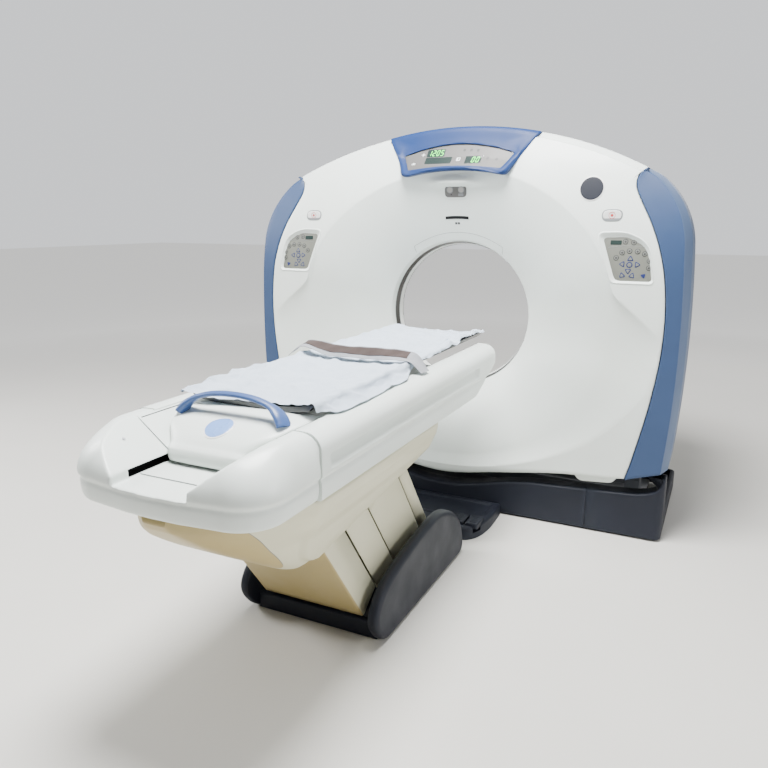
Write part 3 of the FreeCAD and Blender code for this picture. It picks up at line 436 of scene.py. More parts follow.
finishes = {
    "coverWhite": mouldedPlastic("coverWhite", (0.765, 0.825, 0.79), (0.735, 0.785, 0.74), 0.38, coat=0.12),
    "bowlWhite": mouldedPlastic("bowlWhite", (0.76, 0.78, 0.755), (0.72, 0.735, 0.7), 0.4, coat=0.1),
    "wingBlue": mouldedPlastic("wingBlue", (0.037, 0.068, 0.152), (0.033, 0.062, 0.138), 0.45, specular=0.3),
    "sideBlue": mouldedPlastic("sideBlue", (0.075, 0.118, 0.215), (0.068, 0.108, 0.197), 0.48),
    "podBlue": mouldedPlastic("podBlue", (0.012, 0.037, 0.135), (0.011, 0.034, 0.123), 0.48, specular=0.25),
    "windowGrey": mouldedPlastic("windowGrey", (0.12, 0.115, 0.11), (0.1, 0.097, 0.093), 0.5, 300, 0.00005),
    "slate": mouldedPlastic("slate", (0.014, 0.016, 0.025), (0.011, 0.013, 0.02), 0.5, 420, 0.0004,
                            worn=(0.022, 0.027, 0.04), specular=0.22),
    "bellyTan": mouldedPlastic("bellyTan", (0.46, 0.365, 0.165), (0.42, 0.33, 0.145), 0.44, coat=0.08),
    "bellyCream": mouldedPlastic("bellyCream", (0.66, 0.64, 0.47), (0.62, 0.6, 0.435), 0.42, coat=0.1),
    "slatCream": mouldedPlastic("slatCream", (0.62, 0.6, 0.44), (0.58, 0.56, 0.405), 0.44, coat=0.08),
    # near-black plastic; also laid as painted shade in the cooling slots, the cap's slots, the camera's pin
    # hole and the handle's dimple
    "darkGap": mouldedPlastic("darkGap", (0.008, 0.008, 0.009), (0.012, 0.012, 0.013), 0.7, specular=0.2),
    "mylar": mouldedPlastic("mylar", (0.055, 0.05, 0.045), (0.04, 0.038, 0.035), 0.22, 200, 0.0001, 0.5),
    "keypadGrey": mouldedPlastic("keypadGrey", (0.175, 0.18, 0.155), (0.155, 0.16, 0.135), 0.5),
    "keyGrey": mouldedPlastic("keyGrey", (0.05, 0.052, 0.05), (0.04, 0.042, 0.04), 0.5),
    "keyPale": mouldedPlastic("keyPale", (0.17, 0.175, 0.16), (0.15, 0.155, 0.14), 0.45),
    "keyBlue": mouldedPlastic("keyBlue", (0.012, 0.022, 0.12), (0.01, 0.018, 0.1), 0.5),
    "ringGrey": mouldedPlastic("ringGrey", (0.2, 0.215, 0.22), (0.17, 0.18, 0.185), 0.42),
    "stopWhite": mouldedPlastic("stopWhite", (0.82, 0.82, 0.81), (0.78, 0.775, 0.76), 0.3, coat=0.4),
    "stopRed": mouldedPlastic("stopRed", (0.55, 0.05, 0.05), (0.45, 0.04, 0.045), 0.3, coat=0.4),
    "lensPale": mouldedPlastic("lensPale", (0.38, 0.37, 0.35), (0.3, 0.29, 0.275), 0.15, coat=0.8),
    "digitGreen": litGlass("digitGreen", (0.1, 0.85, 0.12), 1.6),
    "iconWhite": litGlass("iconWhite", (0.75, 0.78, 0.78), 0.35),
    "digitBack": mouldedPlastic("digitBack", (0.028, 0.045, 0.04), (0.022, 0.035, 0.033), 0.2, 300, 0.00005,
                                0.7),
    "handleBlue": mouldedPlastic("handleBlue", (0.045, 0.095, 0.26), (0.04, 0.085, 0.235), 0.42, coat=0.12),
    "discBlue": mouldedPlastic("discBlue", (0.2, 0.36, 0.75), (0.18, 0.32, 0.68), 0.25, coat=0.6),
    "sheetCloth": wovenCloth("sheetCloth", (0.7, 0.79, 0.9), (0.61, 0.71, 0.83), 2600, 0.1, 0.8, 6.0),
    "strapWeb": wovenCloth("strapWeb", (0.31, 0.32, 0.34), (0.25, 0.26, 0.28), 1500, 0.1, 0.95),
    "strapLining": wovenCloth("strapLining", (0.075, 0.055, 0.05), (0.055, 0.042, 0.038), 2400, 0.1, 1.0),
    "cradleCarbon": carbonSkin("cradleCarbon"),
    "castAlloy": metalFinish("castAlloy", (0.62, 0.63, 0.65), (0.5, 0.51, 0.53), 0.42, (30, 30, 30)),
    "bearingSteel": metalFinish("bearingSteel", (0.6, 0.6, 0.61), (0.45, 0.45, 0.47), 0.25),
    "slipBrass": metalFinish("slipBrass", (0.72, 0.52, 0.2), (0.6, 0.42, 0.15), 0.3, (4, 260, 4)),
    "framePaint": steelPaint("framePaint", (0.085, 0.09, 0.1), (0.12, 0.12, 0.125)),
    "tubePaint": steelPaint("tubePaint", (0.42, 0.44, 0.46), (0.36, 0.375, 0.39)),
    "rubberBlack": mouldedPlastic("rubberBlack", (0.018, 0.018, 0.02), (0.03, 0.03, 0.032), 0.7, 500, 0.0005),
}
print("finishes made:", len(finishes))


# gantry outlines
# Everything on the gantry's front is worked out in polar form about the bore axis.

gantry = {
    "rimRadius": 0.375, "rimDepth": -0.047,
    "faceDepth": -0.23, "bendHeight": 1.15, "bendRadius": 1.4,
    "creaseWide": 0.785, "creaseHigh": 0.7, "bandWide": 1.03, "bandHigh": 0.75,
    "seamDepth": 0.0595, "samples": 540,
}


def faceY(z):
    # flat up to the bend, then an arc that leans back towards the top
    rise = np.clip(np.asarray(z, float) - gantry["bendHeight"], 0, 0.76)
    return gantry["faceDepth"] + gantry["bendRadius"] - np.sqrt(gantry["bendRadius"]**2 - rise**2)


def ellipseRadius(angle, wide, high):
    # how far out an ellipse lies in each direction
    return wide * high / np.hypot(high * np.cos(angle), wide * np.sin(angle))


def creaseRadius(angle):
    return ellipseRadius(angle, gantry["creaseWide"], gantry["creaseHigh"])


def bandRadius(angle):
    # outside the bowl a shallow band runs round the lower half and fades out above the middle
    lower = ellipseRadius(angle, gantry["bandWide"], gantry["bandHigh"])
    fade = smoothStep(np.sin(angle), -0.12, 0.22)
    return lower * (1 - fade) + (creaseRadius(angle) + 0.02) * fade


def bowlY(angle, radius):
    # depth of the cover at a polar place: a horn-shaped bowl, the shallow band, then the face
    z = scanCentre[2] + radius * np.sin(angle)
    crease, band = creaseRadius(angle), bandRadius(angle)
    face = faceY(z)
    step = 0.026 * (1 - smoothStep(np.sin(angle), -0.2, 0.45)) + 0.006
    creaseFace = faceY(scanCentre[2] + crease * np.sin(angle)) + step
    t = np.clip((radius - gantry["rimRadius"]) / (crease - gantry["rimRadius"]), 0, 1)
    horn = 0.42 * t + 0.58 * (1 - (1 - t)**1.9)
    bowl = gantry["rimDepth"] + (creaseFace - gantry["rimDepth"]) * horn
    s = np.clip((radius - crease) / (band - crease), 0, 1)
    outer = creaseFace + (face - creaseFace) * (0.55 * s + 0.45 * s**2)
    return np.where(radius < crease, bowl, np.where(radius < band, outer, face))


def coverY(x, z):
    dx, dz = np.asarray(x, float), np.asarray(z, float) - scanCentre[2]
    return bowlY(np.arctan2(dz, dx), np.hypot(dx, dz))


def outlinePoints():
    # the gantry's front outline, anticlockwise from the lower right corner
    bottom = [(-0.885, 0.285), (-0.602, 0.264), (-0.307, 0.222), (0, 0.18), (0.307, 0.222),
              (0.602, 0.264), (0.885, 0.285), (1.078, 0.352)]
    right = np.vstack([arcPoints((1.078, 0.352), (1.088, 1.335), 6.0)[:-1],
                       arcPoints((1.088, 1.335), (0.935, 1.64), 0.425)[:-1],
                       arcPoints((0.935, 1.64), (0, 1.8865), 1.873)])
    left = right[::-1] * [-1, 1]
    return np.vstack([right, left[1:], smoothPath(np.array(bottom), 6)[:-1]])


def polarRadius(points, angle):
    # how far out the outline lies in each direction from the bore axis
    dx, dz = points[:, 0], points[:, 1] - scanCentre[2]
    turn = np.arctan2(dz, dx)
    order = np.argsort(turn)
    return np.interp(angle, turn[order], np.hypot(dx, dz)[order], period=math.tau)


wingEdge = smoothPath(np.array([
    (0.879, 1.6675), (0.866, 1.664), (0.854, 1.654), (0.844, 1.634), (0.84, 1.605),
    (0.848, 1.572), (0.872, 1.524), (0.925, 1.424), (0.965, 1.321),
    (0.995, 1.195), (1.01, 1.025), (1.004, 0.85), (0.984, 0.69), (0.963, 0.57), (0.922, 0.378),
    (0.898, 0.2875)]), 10)
outline = outlinePoints()
tipAngle = math.atan2(wingEdge[0, 1] - scanCentre[2], wingEdge[0, 0])
footAngle = math.atan2(wingEdge[-1, 1] - scanCentre[2], wingEdge[-1, 0])


def onWingSide(angle):
    # 1 where the white cover ends at a wing, 0 where it ends at the gantry's own outline
    turn = np.where(np.cos(angle) < 0, np.sign(np.sin(angle)) * math.pi - angle, angle)
    return (turn > footAngle - 1e-6) & (turn < tipAngle + 1e-6)


def coverEdgeRadius(angle):
    turn = np.where(np.cos(angle) < 0, np.sign(np.sin(angle)) * math.pi - angle, angle)
    dx, dz = wingEdge[::-1, 0], wingEdge[::-1, 1] - scanCentre[2]
    wing = np.interp(turn, np.arctan2(dz, dx), np.hypot(dx, dz))
    return np.where(onWingSide(angle), wing - 0.0015, polarRadius(outline, angle))


def frontCover():
    # polar sheet: rows run from the bore rim over the bowl, the band and the face to the edge
    even = np.linspace(-math.pi, math.pi, gantry["samples"], endpoint=False)
    turns = [tipAngle, tipAngle + 0.004, footAngle, footAngle - 0.004]
    corners = np.array(turns + [math.copysign(math.pi, a) - a for a in turns])
    angle = np.sort(np.concatenate([even, corners]))[:, None]
    crease, band = creaseRadius(angle), bandRadius(angle)
    edge = coverEdgeRadius(angle)
    band = np.minimum(band, edge - 0.03)
    rim = gantry["rimRadius"]
    bowlRows = rim + (crease - rim) * np.linspace(0, 1, 52)
    creaseRows = crease + (band - crease) * np.linspace(0, 1, 9)[1:]
    faceRows = band + (edge - 0.03 - band) * np.linspace(0, 1, 13)[1:]
    radius = np.concatenate([bowlRows, creaseRows, faceRows], 1)
    depth = bowlY(angle, radius)
    brow = 0.034 * np.exp(-np.abs(radius * np.cos(angle) / 0.112)**3)
    height = scanCentre[2] + radius * np.sin(angle) - 1.622
    brow = brow * np.exp(-np.abs(height / np.where(height > 0, 0.027, 0.0125))**2)
    depth = depth - brow
    rolls = [(-0.01, 0.0365), (-0.0085, 0.022), (-0.0062, 0.01), (-0.0035, 0.0035), (-0.0012, 0.0006)]
    rimRadius = np.concatenate([rim + inward + 0 * angle for inward, _ in rolls], 1)
    rimDepth = np.concatenate([gantry["rimDepth"] + back + 0 * angle for _, back in rolls], 1)
    face = faceY(scanCentre[2] + edge * np.sin(angle))
    wing = onWingSide(angle)
    above = (np.sin(angle) > 0) & ~wing
    lip = [(-0.009, 0.0), (-0.004, 0.0015), (-0.001, 0.0045), (0.0, 0.01), (0.0, 0.03)]
    bevel = [(-0.026, 0.0), (-0.022, 0.004), (-0.006, 0.019), (0.0, 0.028), (0.0, None)]
    foot = [(-0.018, 0.0), (-0.008, 0.004), (-0.002, 0.012), (0.0, 0.024), (-0.004, 0.16)]
    edgeRadius, edgeDepth = [], []
    for lipRow, bevelRow, footRow in zip(lip, bevel, foot):
        shift = np.where(wing, lipRow[0], np.where(above, bevelRow[0], footRow[0]))
        far = gantry["seamDepth"] - face if bevelRow[1] is None else bevelRow[1]
        back = np.where(wing, lipRow[1], np.where(above, far, footRow[1]))
        edgeRadius.append(edge + shift)
        edgeDepth.append(face + back)
    radius = np.concatenate([rimRadius, radius, *edgeRadius], 1)
    depth = np.concatenate([rimDepth, depth, *edgeDepth], 1)
    piece = gridPiece("frontCover", roundBore(angle, radius, depth), "coverWhite", "gantry", closedRows=True,
                      facing=(0, -1, 0), wall=0.004, sharp=28)
    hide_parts("front_cover")
    return piece


keypad = {  # corners of the sunken panel and of the well round it, and how far each is rounded
    "panel": [(0.826, 1.378), (0.914, 1.336), (0.943, 1.19), (0.788, 1.19), (0.724, 1.374)],
    "panelRounds": [0.02, 0.05, 0.016, 0.02, 0.02],
    "well": [(0.83, 1.402), (0.922, 1.352), (0.953, 1.181), (0.772, 1.181), (0.698, 1.398)],
    "wellRounds": [0.05, 0.05, 0.02, 0.018, 0.03],
    "recess": 0.011,
}


def keypadLoop(kind, count, grow=0.0):
    loop = anticlockwise(roundedLoop(keypad[kind], keypad[kind + "Rounds"]))
    return insetLoop(evenLoop(loop, count), -grow)


def recessCutter(side):
    # a block through the cover's face, as wide as the well
    loop = keypadLoop("well", 200, -0.001)
    stack = [np.column_stack([side * loop[:, 0], faceY(loop[:, 1]) + depth, loop[:, 1]])
             for depth in (-0.05, 0.05)]
    return solidOf("keypadWell", stack, "coverWhite", "gantry")


def byAngle(loop, centre, angle):
    # the outline again, at the given turns about a centre, so that two outlines match point by point
    turn = np.arctan2(loop[:, 1] - centre[1], loop[:, 0] - centre[0])
    order = np.argsort(turn)
    return np.column_stack([np.interp(angle, turn[order], loop[order, k], period=math.tau) for k in range(2)])


def keypadBezel(side):
    # a raised soft lip at the cover's face that slopes down to the edge of the sunken panel
    centre, angle = np.array([0.85, 1.284]), np.linspace(-math.pi, math.pi, 144, endpoint=False)
    outer = byAngle(keypadLoop("well", 200, 0.0015), centre, angle)
    inner = byAngle(keypadLoop("panel", 96), centre, angle)
    stack = []
    for share, depth in ((0.0, 0.0032), (0.0, 0.0006), (0.02, -0.001), (0.06, -0.0022), (0.14, -0.0026),
                         (0.26, -0.0014), (0.42, 0.0022), (0.6, 0.0064), (0.8, 0.0096),
                         (1.0, 0.0112), (1.06, 0.0125)):
        place = outer + (inner - outer) * share
        stack.append(np.column_stack([side * place[:, 0], faceY(place[:, 1]) + depth, place[:, 1]]))
    bezel = gridPiece(f"keypadBezel{sideName[side]}", np.array(stack), "coverWhite",
                      "gantry", closedCols=True, facing=(0, -1, 0), wall=0.0025, sharp=60)


cutFrom(frontCover(), [recessCutter(1), recessCutter(-1)])
for side in (1, -1):
    keypadBezel(side)
print("front cover shaped")


def wing(side):
    # rows across the wing: a rounded lip by the white cover, the flat, a fold, the outer bevel, the side
    rows = 120
    path = evenLoop(np.vstack([wingEdge, wingEdge[::-1]]), 2 * rows)[:rows]
    path[:, 1] = np.linspace(wingEdge[0, 1], wingEdge[-1, 1], rows)
    order = np.argsort(wingEdge[:, 1])
    inner = np.column_stack([np.interp(path[:, 1], wingEdge[order, 1], wingEdge[order, 0]), path[:, 1]])
    outer = outerWingEdge(np.linspace(0, 1, rows))
    width = np.linalg.norm(outer - inner, axis=1)
    foldShare = np.clip(1 - 0.029 / np.maximum(width, 0.001), 0.45, 1)
    fold = inner + (outer - inner) * foldShare[:, None]
    innerY, foldY, outerY = coverY(*inner.T), faceY(fold[:, 1]) + 0.009, faceY(outer[:, 1]) + 0.08
    across = [
        (inner + [0.0018, 0], innerY + 0.03), (inner + [0.0018, 0], innerY + 0.007),
        (inner + [0.0035, 0], innerY + 0.0025), (inner + [0.008, 0], innerY + 0.0005)]
    for share in (0.25, 0.5, 0.75, 0.92):
        across.append((inner + (fold - inner) * share, innerY + (foldY - innerY) * share))
    across.append((fold + (outer - fold) * 0.02, foldY + 0.001))
    for share in (0.12, 0.35, 0.6, 0.8):
        across.append((fold + (outer - fold) * share, foldY + (outerY - foldY) * share**1.25))
    for share, back in ((0.93, 0.88), (0.985, 1.0), (1.0, 1.2)):
        across.append((fold + (outer - fold) * share, foldY + (outerY - foldY) * back))
    across.append((outer, np.full(rows, gantry["seamDepth"])))
    points = np.stack([np.column_stack([side * place[:, 0], depth, place[:, 1]])
                       for place, depth in across], 1)
    name = f"wing{sideName[side]}"
    piece = gridPiece(name, points, "wingBlue", "gantry", facing=(0.3 * side, -1, 0),
                      wall=0.004, sharp=24)
    border = np.zeros(len(piece.data.polygons), np.int32)
    border[np.tile(np.arange(len(across) - 1) >= 8, rows - 1)] = 1
    piece.data.materials.append(finishes["sideBlue"])
    paint(piece, border)
    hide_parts(f"wing_{sideName[side].lower()}")


def outerWingEdge(t):
    # the outline's right side from the wing's tip down to its foot, at equal steps
    side = outline[:len(outline) // 2]
    side = side[(side[:, 0] > 0.86) & (side[:, 1] > 0.34)][::-1]
    tip = np.array([[0.88, 1.6674]])
    side = np.vstack([tip, side[side[:, 1] < 1.6655], [[1.076, 0.34]]])
    along = np.concatenate([[0], np.cumsum(np.linalg.norm(np.diff(side, axis=0), axis=1))])
    height = np.linspace(side[0, 1], side[-1, 1], 200)
    byHeight = np.interp(height[::-1], side[::-1, 1], along[::-1])[::-1]
    level = np.interp(t, np.linspace(0, 1, 200), byHeight)
    return np.column_stack([np.interp(level, along, side[:, 0]), np.interp(level, along, side[:, 1])])


for side in (1, -1):
    wing(side)
print("wings shaped")


rear = {"depth": 0.7, "corner": 0.075, "holeRadius": 0.672, "narrow": 0.038, "foot": 0.2473}


def rearOutline(angle, depth):
    # the outline narrows, drops and lifts its hem as it runs back
    radius = polarRadius(outline, angle)
    back = np.clip((depth - gantry["seamDepth"]) / (rear["depth"] - gantry["seamDepth"]), 0, 1)
    x = radius * np.cos(angle) * (1 - rear["narrow"] / 1.1 * back)
    z = scanCentre[2] + radius * np.sin(angle)
    z = np.where(z > scanCentre[2], scanCentre[2] + (z - scanCentre[2]) * (1 - 0.016 * back), z)
    return x, np.maximum(z, 0.172 + (depth + 0.23) * rear["foot"])


def rearCover():
    # polar sheet: sides run back from the seam, round over and close in to the funnel's mouth
    angle = np.linspace(-math.pi, math.pi, 420, endpoint=False)[:, None]
    end, corner = rear["depth"], rear["corner"]
    rows = [(depth, 0.0) for depth in (gantry["seamDepth"] + 0.0015, 0.12, 0.22, 0.35, 0.48, 0.58,
                                       end - corner)]
    turn = np.linspace(0, math.pi / 2, 9)[1:]
    rows += [(end - corner + corner * math.sin(a), corner * (1 - math.cos(a))) for a in turn]
    layers = []
    for depth, inward in rows:
        x, z = rearOutline(angle, depth)
        reach = np.hypot(x, z - scanCentre[2])
        scale = (reach - inward) / reach
        layers.append(np.stack([x * scale, depth + 0 * x, scanCentre[2] + (z - scanCentre[2]) * scale], -1))
    last, hole = layers[-1], rear["holeRadius"]
    mouth = roundBore(angle, hole, end)
    layers += [last + (mouth - last) * share for share in (0.3, 0.65, 0.92, 1.0)]
    points = np.concatenate([*layers, roundBore(angle, hole - 0.004, end - 0.006)], 1)
    piece = gridPiece("rearCover", points, "coverWhite", "gantry", closedRows=True,
                      facing=(0, 1, 0), wall=0.004, sharp=30)
    piece.data.materials.append(finishes["sideBlue"])
    x, y, z = faceCentres(piece).T
    paint(piece, ((np.abs(x) > 0.86) & (y < 0.36) & (z < 1.7)).astype(np.int32))
    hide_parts("rear_cover")


rearCover()


def rearDetails():
    # a column of cooling slots each side, inside the covers at the scan plane's depth; each slot is a
    # near-black plate, painted shade where an opening would be
    for side in (1, -1):
        for level in np.linspace(0.63, 0.87, 9):
            loop = roundedLoop([(side * x, level + z) for x, z in
                                ((0.8, -0.005), (0.97, -0.005), (0.97, 0.005), (0.8, 0.005))], 0.005)
            slot = plate(f"coolingSlot{side}{level:.2f}", loop, lambda x, z: 0 * x, 0.004, 0.001,
                         "darkGap", "gantry", 2)
            slot.data.transform(((1, 0, 0, 0), (0, -1, 0, 0.6985), (0, 0, 1, 0), (0, 0, 0, 1)))
            slot.data.flip_normals()


rearDetails()

funnel = {"mouth": 0.6615, "end": 0.6935, "wall": 0.007}


def boreLining():
    # a tapering ring under film, then the liner that narrows to the throat and flares to the rear
    mouth, end, wall = funnel["mouth"], funnel["end"], funnel["wall"]
    liner = turnedPiece("boreFunnel", [
        (0.0255, 0.3572), (0.04, 0.3535), (0.052, 0.3508), (0.062, 0.3508), (0.3, 0.4686),
        (end - 0.03, mouth - 0.0145), (end - 0.008, mouth - 0.003), (end, mouth), (end + 0.001, mouth + wall),
        (0.3, 0.4765), (0.062, 0.3585), (0.0255, 0.361)], "bowlWhite", "gantry", 200)
    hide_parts("bore_liner")
    film = turnedPiece("scanWindow", [(-0.0115, 0.3655), (-0.008, 0.3646), (0.022, 0.3578), (0.0252, 0.3572),
                                      (0.0252, 0.361), (-0.0115, 0.369)], "mylar", "gantry", 200)
    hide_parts("mylar_window")
    angle = np.linspace(0, math.tau, 200, endpoint=False)
    for depth, radius in ((-0.0105, 0.3652), (0.025, 0.3572), (0.06, 0.3508)):
        tubePiece(f"windowBand{depth:.3f}", roundBore(angle, radius, depth), 0.0016, "ringGrey", "gantry", 8,
                  closed=True)
    for turn, width in ((196, 0.02), (186, 0.012), (-16, 0.02)):
        a = math.radians(turn)
        loop = roundRect(0, 0, width, 0.03, 0.004)
        out = np.array([math.cos(a), 0, math.sin(a)])
        across = np.array([-math.sin(a), 0, math.cos(a)])
        middle = np.array([0, 0.098, scanCentre[2]]) + out * 0.3678
        slope = np.array([0, 1.0, 0]) + out * 0.495
        slope /= np.linalg.norm(slope)
        rings = [middle + (loop[:, :1] * across + loop[:, 1:] * slope) * grow - out * proud
                 for grow, proud in ((1.0, -0.003), (1.0, 0.0008), (0.93, 0.0016))]
        solidOf(f"boreSensor{turn}", rings, "ringGrey", "gantry")


boreLining()
print("rear cover and bore shaped")


def onBowl(points, proud=0.0):
    # places (x, z) points on the cover's front, standing proud of it
    points = np.asarray(points, float)
    return np.column_stack([points[:, 0], coverY(points[:, 0], points[:, 1]) - proud, points[:, 1]])


def accessSeam():
    # a long arched service cover in the bowl over the bore, with rounded ends
    span, inner, outer = math.radians(35), 0.3815, 0.41
    angle = np.linspace(math.pi / 2 + span, math.pi / 2 - span, 90)
    top = np.column_stack([outer * np.cos(angle), scanCentre[2] + outer * np.sin(angle)])
    ends = [np.array([(inner * math.cos(a), scanCentre[2] + inner * math.sin(a))])
            for a in (math.pi / 2 - span - 0.03, math.pi / 2 + span + 0.03)]
    path = onBowl(smoothPath(np.vstack([ends[1], top[::4], ends[0]]), 4), -0.0002)
    tubePiece("accessSeam", path, 0.0009, "ringGrey", "gantry", 8)


accessSeam()

pod = {
    "low": 1.678, "lowRadius": 1.1, "high": 1.8905, "highRadius": 1.873,
    "bottomHalf": 0.258, "topHalf": 0.388, "scale": 0.215, "corner": 0.026, "thick": 0.07, "recess": 0.0065,
    "height": [0.0, 0.04, 0.08, 0.12, 0.3, 0.55, 0.75, 0.9, 0.95, 0.98, 1.0],  # shares of the pod's height
    "depth": [-0.171, -0.1745, -0.174, -0.1685, -0.131, -0.09, -0.07, -0.058, -0.052, -0.044, -0.03],
}


def podLow(x):
    return pod["low"] - x**2 / (2 * pod["lowRadius"])


def podHigh(x):
    return pod["high"] - x**2 / (2 * pod["highRadius"])


def podShare(x, z):
    return (z - podLow(x)) / (podHigh(x) - podLow(x))


def podY(x, z):
    # the pod leans back: its depth depends only on the share of the height between its two arcs
    share = podShare(np.asarray(x, float), np.asarray(z, float))
    clear = faceY(z) - 0.007 + 0.03 * smoothStep(share, 0.9, 1.0)
    return np.minimum(np.interp(share, pod["height"], pod["depth"]), clear)


def podLoops():
    # the two outlines as (x, share of height)
    low, high = pod["bottomHalf"], pod["topHalf"]
    share = np.linspace(0, 1, 60)[1:-1]
    sides = low + (high - low) * (0.86 * share + 0.14 * share**2)
    across = np.linspace(-1, 1, 60)
    outer = np.vstack([np.column_stack([across * low, 0 * across]), np.column_stack([sides, share]),
                       np.column_stack([-across * high, 0 * across + 1]),
                       np.column_stack([-sides, share])[::-1]])
    bottom = np.column_stack([across * 0.235, 0.098 + 0.034 * across**2])
    top = np.column_stack([-across * 0.281, 0.593 - 0.1 * across**2])
    window = np.vstack([bottom, top])
    return outer, window


def softCorners(loop, radius, keepTop=False):
    # eases the corners of an (x, share) outline in true lengths, then gives it back
    real = np.column_stack([loop[:, 0], loop[:, 1] * pod["scale"]])
    real = evenLoop(anticlockwise(real), 600)
    step = np.linalg.norm(real[1] - real[0])
    window = max(3, int(radius * 1.6 / step))
    kernel = np.hanning(2 * window + 1)
    kernel /= kernel.sum()
    wrapped = np.vstack([real[-window:], real, real[:window]])
    eased = np.column_stack([np.convolve(wrapped[:, k], kernel, "valid") for k in range(2)])
    if keepTop:
        blend = smoothStep(real[:, 1], 0.12, 0.17)[:, None]
        eased = eased * (1 - blend) + real * blend
    return eased


def displayPod():
    # ring of rows from the outer rim, over a rolled frame, down to the window's edge
    outer, window = podLoops()
    centre = np.array([0.0, 0.072])
    corner = math.atan2(pod["scale"] - centre[1], pod["topHalf"])
    angle = np.append(np.linspace(-math.pi, math.pi, 300, endpoint=False), [corner, math.pi - corner])
    angle.sort()
    outer = byAngle(softCorners(outer, pod["corner"], True), centre, angle)
    window = byAngle(softCorners(window, 0.01), centre, angle)
    gap = np.linalg.norm(outer - window, axis=1)[:, None]
    rows = []
    for inward, back in ((0.0, pod["thick"]), (0.0, 0.01), (0.0012, 0.004), (0.004, 0.0008),
                         (0.0075, -0.0008)):
        rows.append((outer + (window - outer) * inward / gap, back))
    rim = 0.0075 / gap
    for share in (0.12, 0.3, 0.5, 0.7, 0.82, 0.9, 0.95, 0.98):
        place = outer + (window - outer) * (rim + (1 - rim) * share)
        fromOuter = np.linalg.norm(place - outer, axis=1)
        fromWindow = np.linalg.norm(place - window, axis=1)
        roll = np.sin(math.pi * np.clip(fromOuter / np.minimum(gap[:, 0], 0.034), 0, 1))
        lip = 1 - smoothStep(fromWindow, 0, 0.006)
        rows.append((place, -0.006 * roll * (outer[:, 1] < 0.205) + 0.0035 * lip))
    rows += [(window, pod["recess"]), (window + (centre - window) * 0.006, 0.018)]
    stack = []
    for place, back in rows:
        share = place[:, 1] / pod["scale"]
        x = place[:, 0]
        z = podLow(x) + share * (podHigh(x) - podLow(x))
        y = podY(x, z) + back
        crown = (share > 0.995) & (np.max(back) > 0.009)
        y = np.where(crown, np.where(np.max(back) > 0.05, gantry["seamDepth"] - 0.0015, 0.022), y)
        stack.append(np.column_stack([x, y, z]))
    piece = gridPiece("displayPod", np.array(stack), "podBlue", "gantry", closedCols=True,
                      facing=(0, -1, 0.2), wall=0.003, sharp=44)
    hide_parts("display_pod")
    x = window[:, 0]
    glassLoop = np.column_stack([x, podLow(x) + window[:, 1] / pod["scale"] * (podHigh(x) - podLow(x))])
    glass = plate("displayWindow", insetLoop(anticlockwise(glassLoop), -0.002),
                  lambda x, z: podY(x, z) + pod["recess"] + 0.0015, 0.006, 0.001, "windowGrey", "gantry", 24)
    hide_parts("display_window")


displayPod()


def podPatch(name, loop, proud, material, thick=0.0006):
    return plate(name, loop, lambda x, z: podY(x, z) + 0.008 - proud, thick, 0.0002, material, "gantry", 3)


segments = {  # the seven bars of a digit, as ends in a box one wide and two high
    "top": ((0, 2), (1, 2)), "middle": ((0, 1), (1, 1)), "bottom": ((0, 0), (1, 0)),
    "upperLeft": ((0, 1), (0, 2)), "upperRight": ((1, 1), (1, 2)),
    "lowerLeft": ((0, 0), (0, 1)), "lowerRight": ((1, 0), (1, 1)),
}
digitBars = {
    "0": ("top", "bottom", "upperLeft", "upperRight", "lowerLeft", "lowerRight"),
    "1": ("upperRight", "lowerRight"),
    "2": ("top", "middle", "bottom", "upperRight", "lowerLeft"),
    "5": ("top", "middle", "bottom", "upperLeft", "lowerRight"),
}


def sevenSegment(text, x, z, height, pitch):
    # draws the digits as slanted lit bars laid on the display
    width, bar = height * 0.46, height * 0.085
    for place, digit in enumerate(text):
        for barName in digitBars[digit]:
            ends = np.array(segments[barName], float) * [width, height / 2] + [x + place * pitch, z]
            ends[:, 0] += (ends[:, 1] - z) * 0.14
            along = ends[1] - ends[0]
            along /= np.linalg.norm(along)
            ends += np.outer([1, -1], along) * bar * 0.7
            across = np.array([-along[1], along[0]]) * bar
            tip = along * bar
            loop = [ends[0] - tip, ends[0] - across, ends[1] - across, ends[1] + tip, ends[1] + across,
                    ends[0] + across]
            podPatch(f"digit{x:.3f}_{place}_{barName}", evenLoop(np.array(loop), 18), 0.0012,
                     "digitGreen", 0.0004)


def displayFace():
    # two lit read-outs, one blank read-out, and plain marks beside them
    podPatch("readoutTop", roundRect(-0.108, 1.764, 0.096, 0.036), 0.0006, "digitBack")
    podPatch("readoutBlank", roundRect(-0.086, 1.727, 0.14, 0.032), 0.0006, "digitBack")
    podPatch("readoutSide", roundRect(0.092, 1.726, 0.078, 0.036), 0.0006, "digitBack")
    sevenSegment("1205", -0.147, 1.7515, 0.025, 0.0215)
    sevenSegment("00", 0.086, 1.714, 0.024, 0.021)
    for x, z in ((-0.176, 1.758), (-0.216, 1.716)):
        podPatch(f"markRing{z:.3f}", circleLoop(x, z, 0.0045), 0.0012, "iconWhite")
        podPatch(f"markBar{z:.3f}", roundRect(x, z, 0.024, 0.0022, 0.001), 0.0012, "iconWhite")
    podPatch("markPost", roundRect(-0.176, 1.758, 0.0022, 0.02, 0.001), 0.0014, "iconWhite")
    podPatch("markTable", roundRect(-0.216, 1.711, 0.022, 0.003, 0.001), 0.0014, "iconWhite")
    podPatch("markTilt", roundRect(0.018, 1.73, 0.02, 0.017, 0.004), 0.0012, "iconWhite")
    podPatch("markTiltDot", circleLoop(0.02, 1.731, 0.0045), 0.0016, "windowGrey")
    podPatch("markDegree", circleLoop(0.138, 1.742, 0.0022, 14), 0.0014, "iconWhite")
    for x, z in ((0.036, 1.774), (0.07, 1.773), (0.104, 1.771), (0.16, 1.732), (0.204, 1.725)):
        podPatch(f"lampOff{x:.3f}", circleLoop(x, z, 0.0065), 0.0008, "keyGrey")


displayFace()


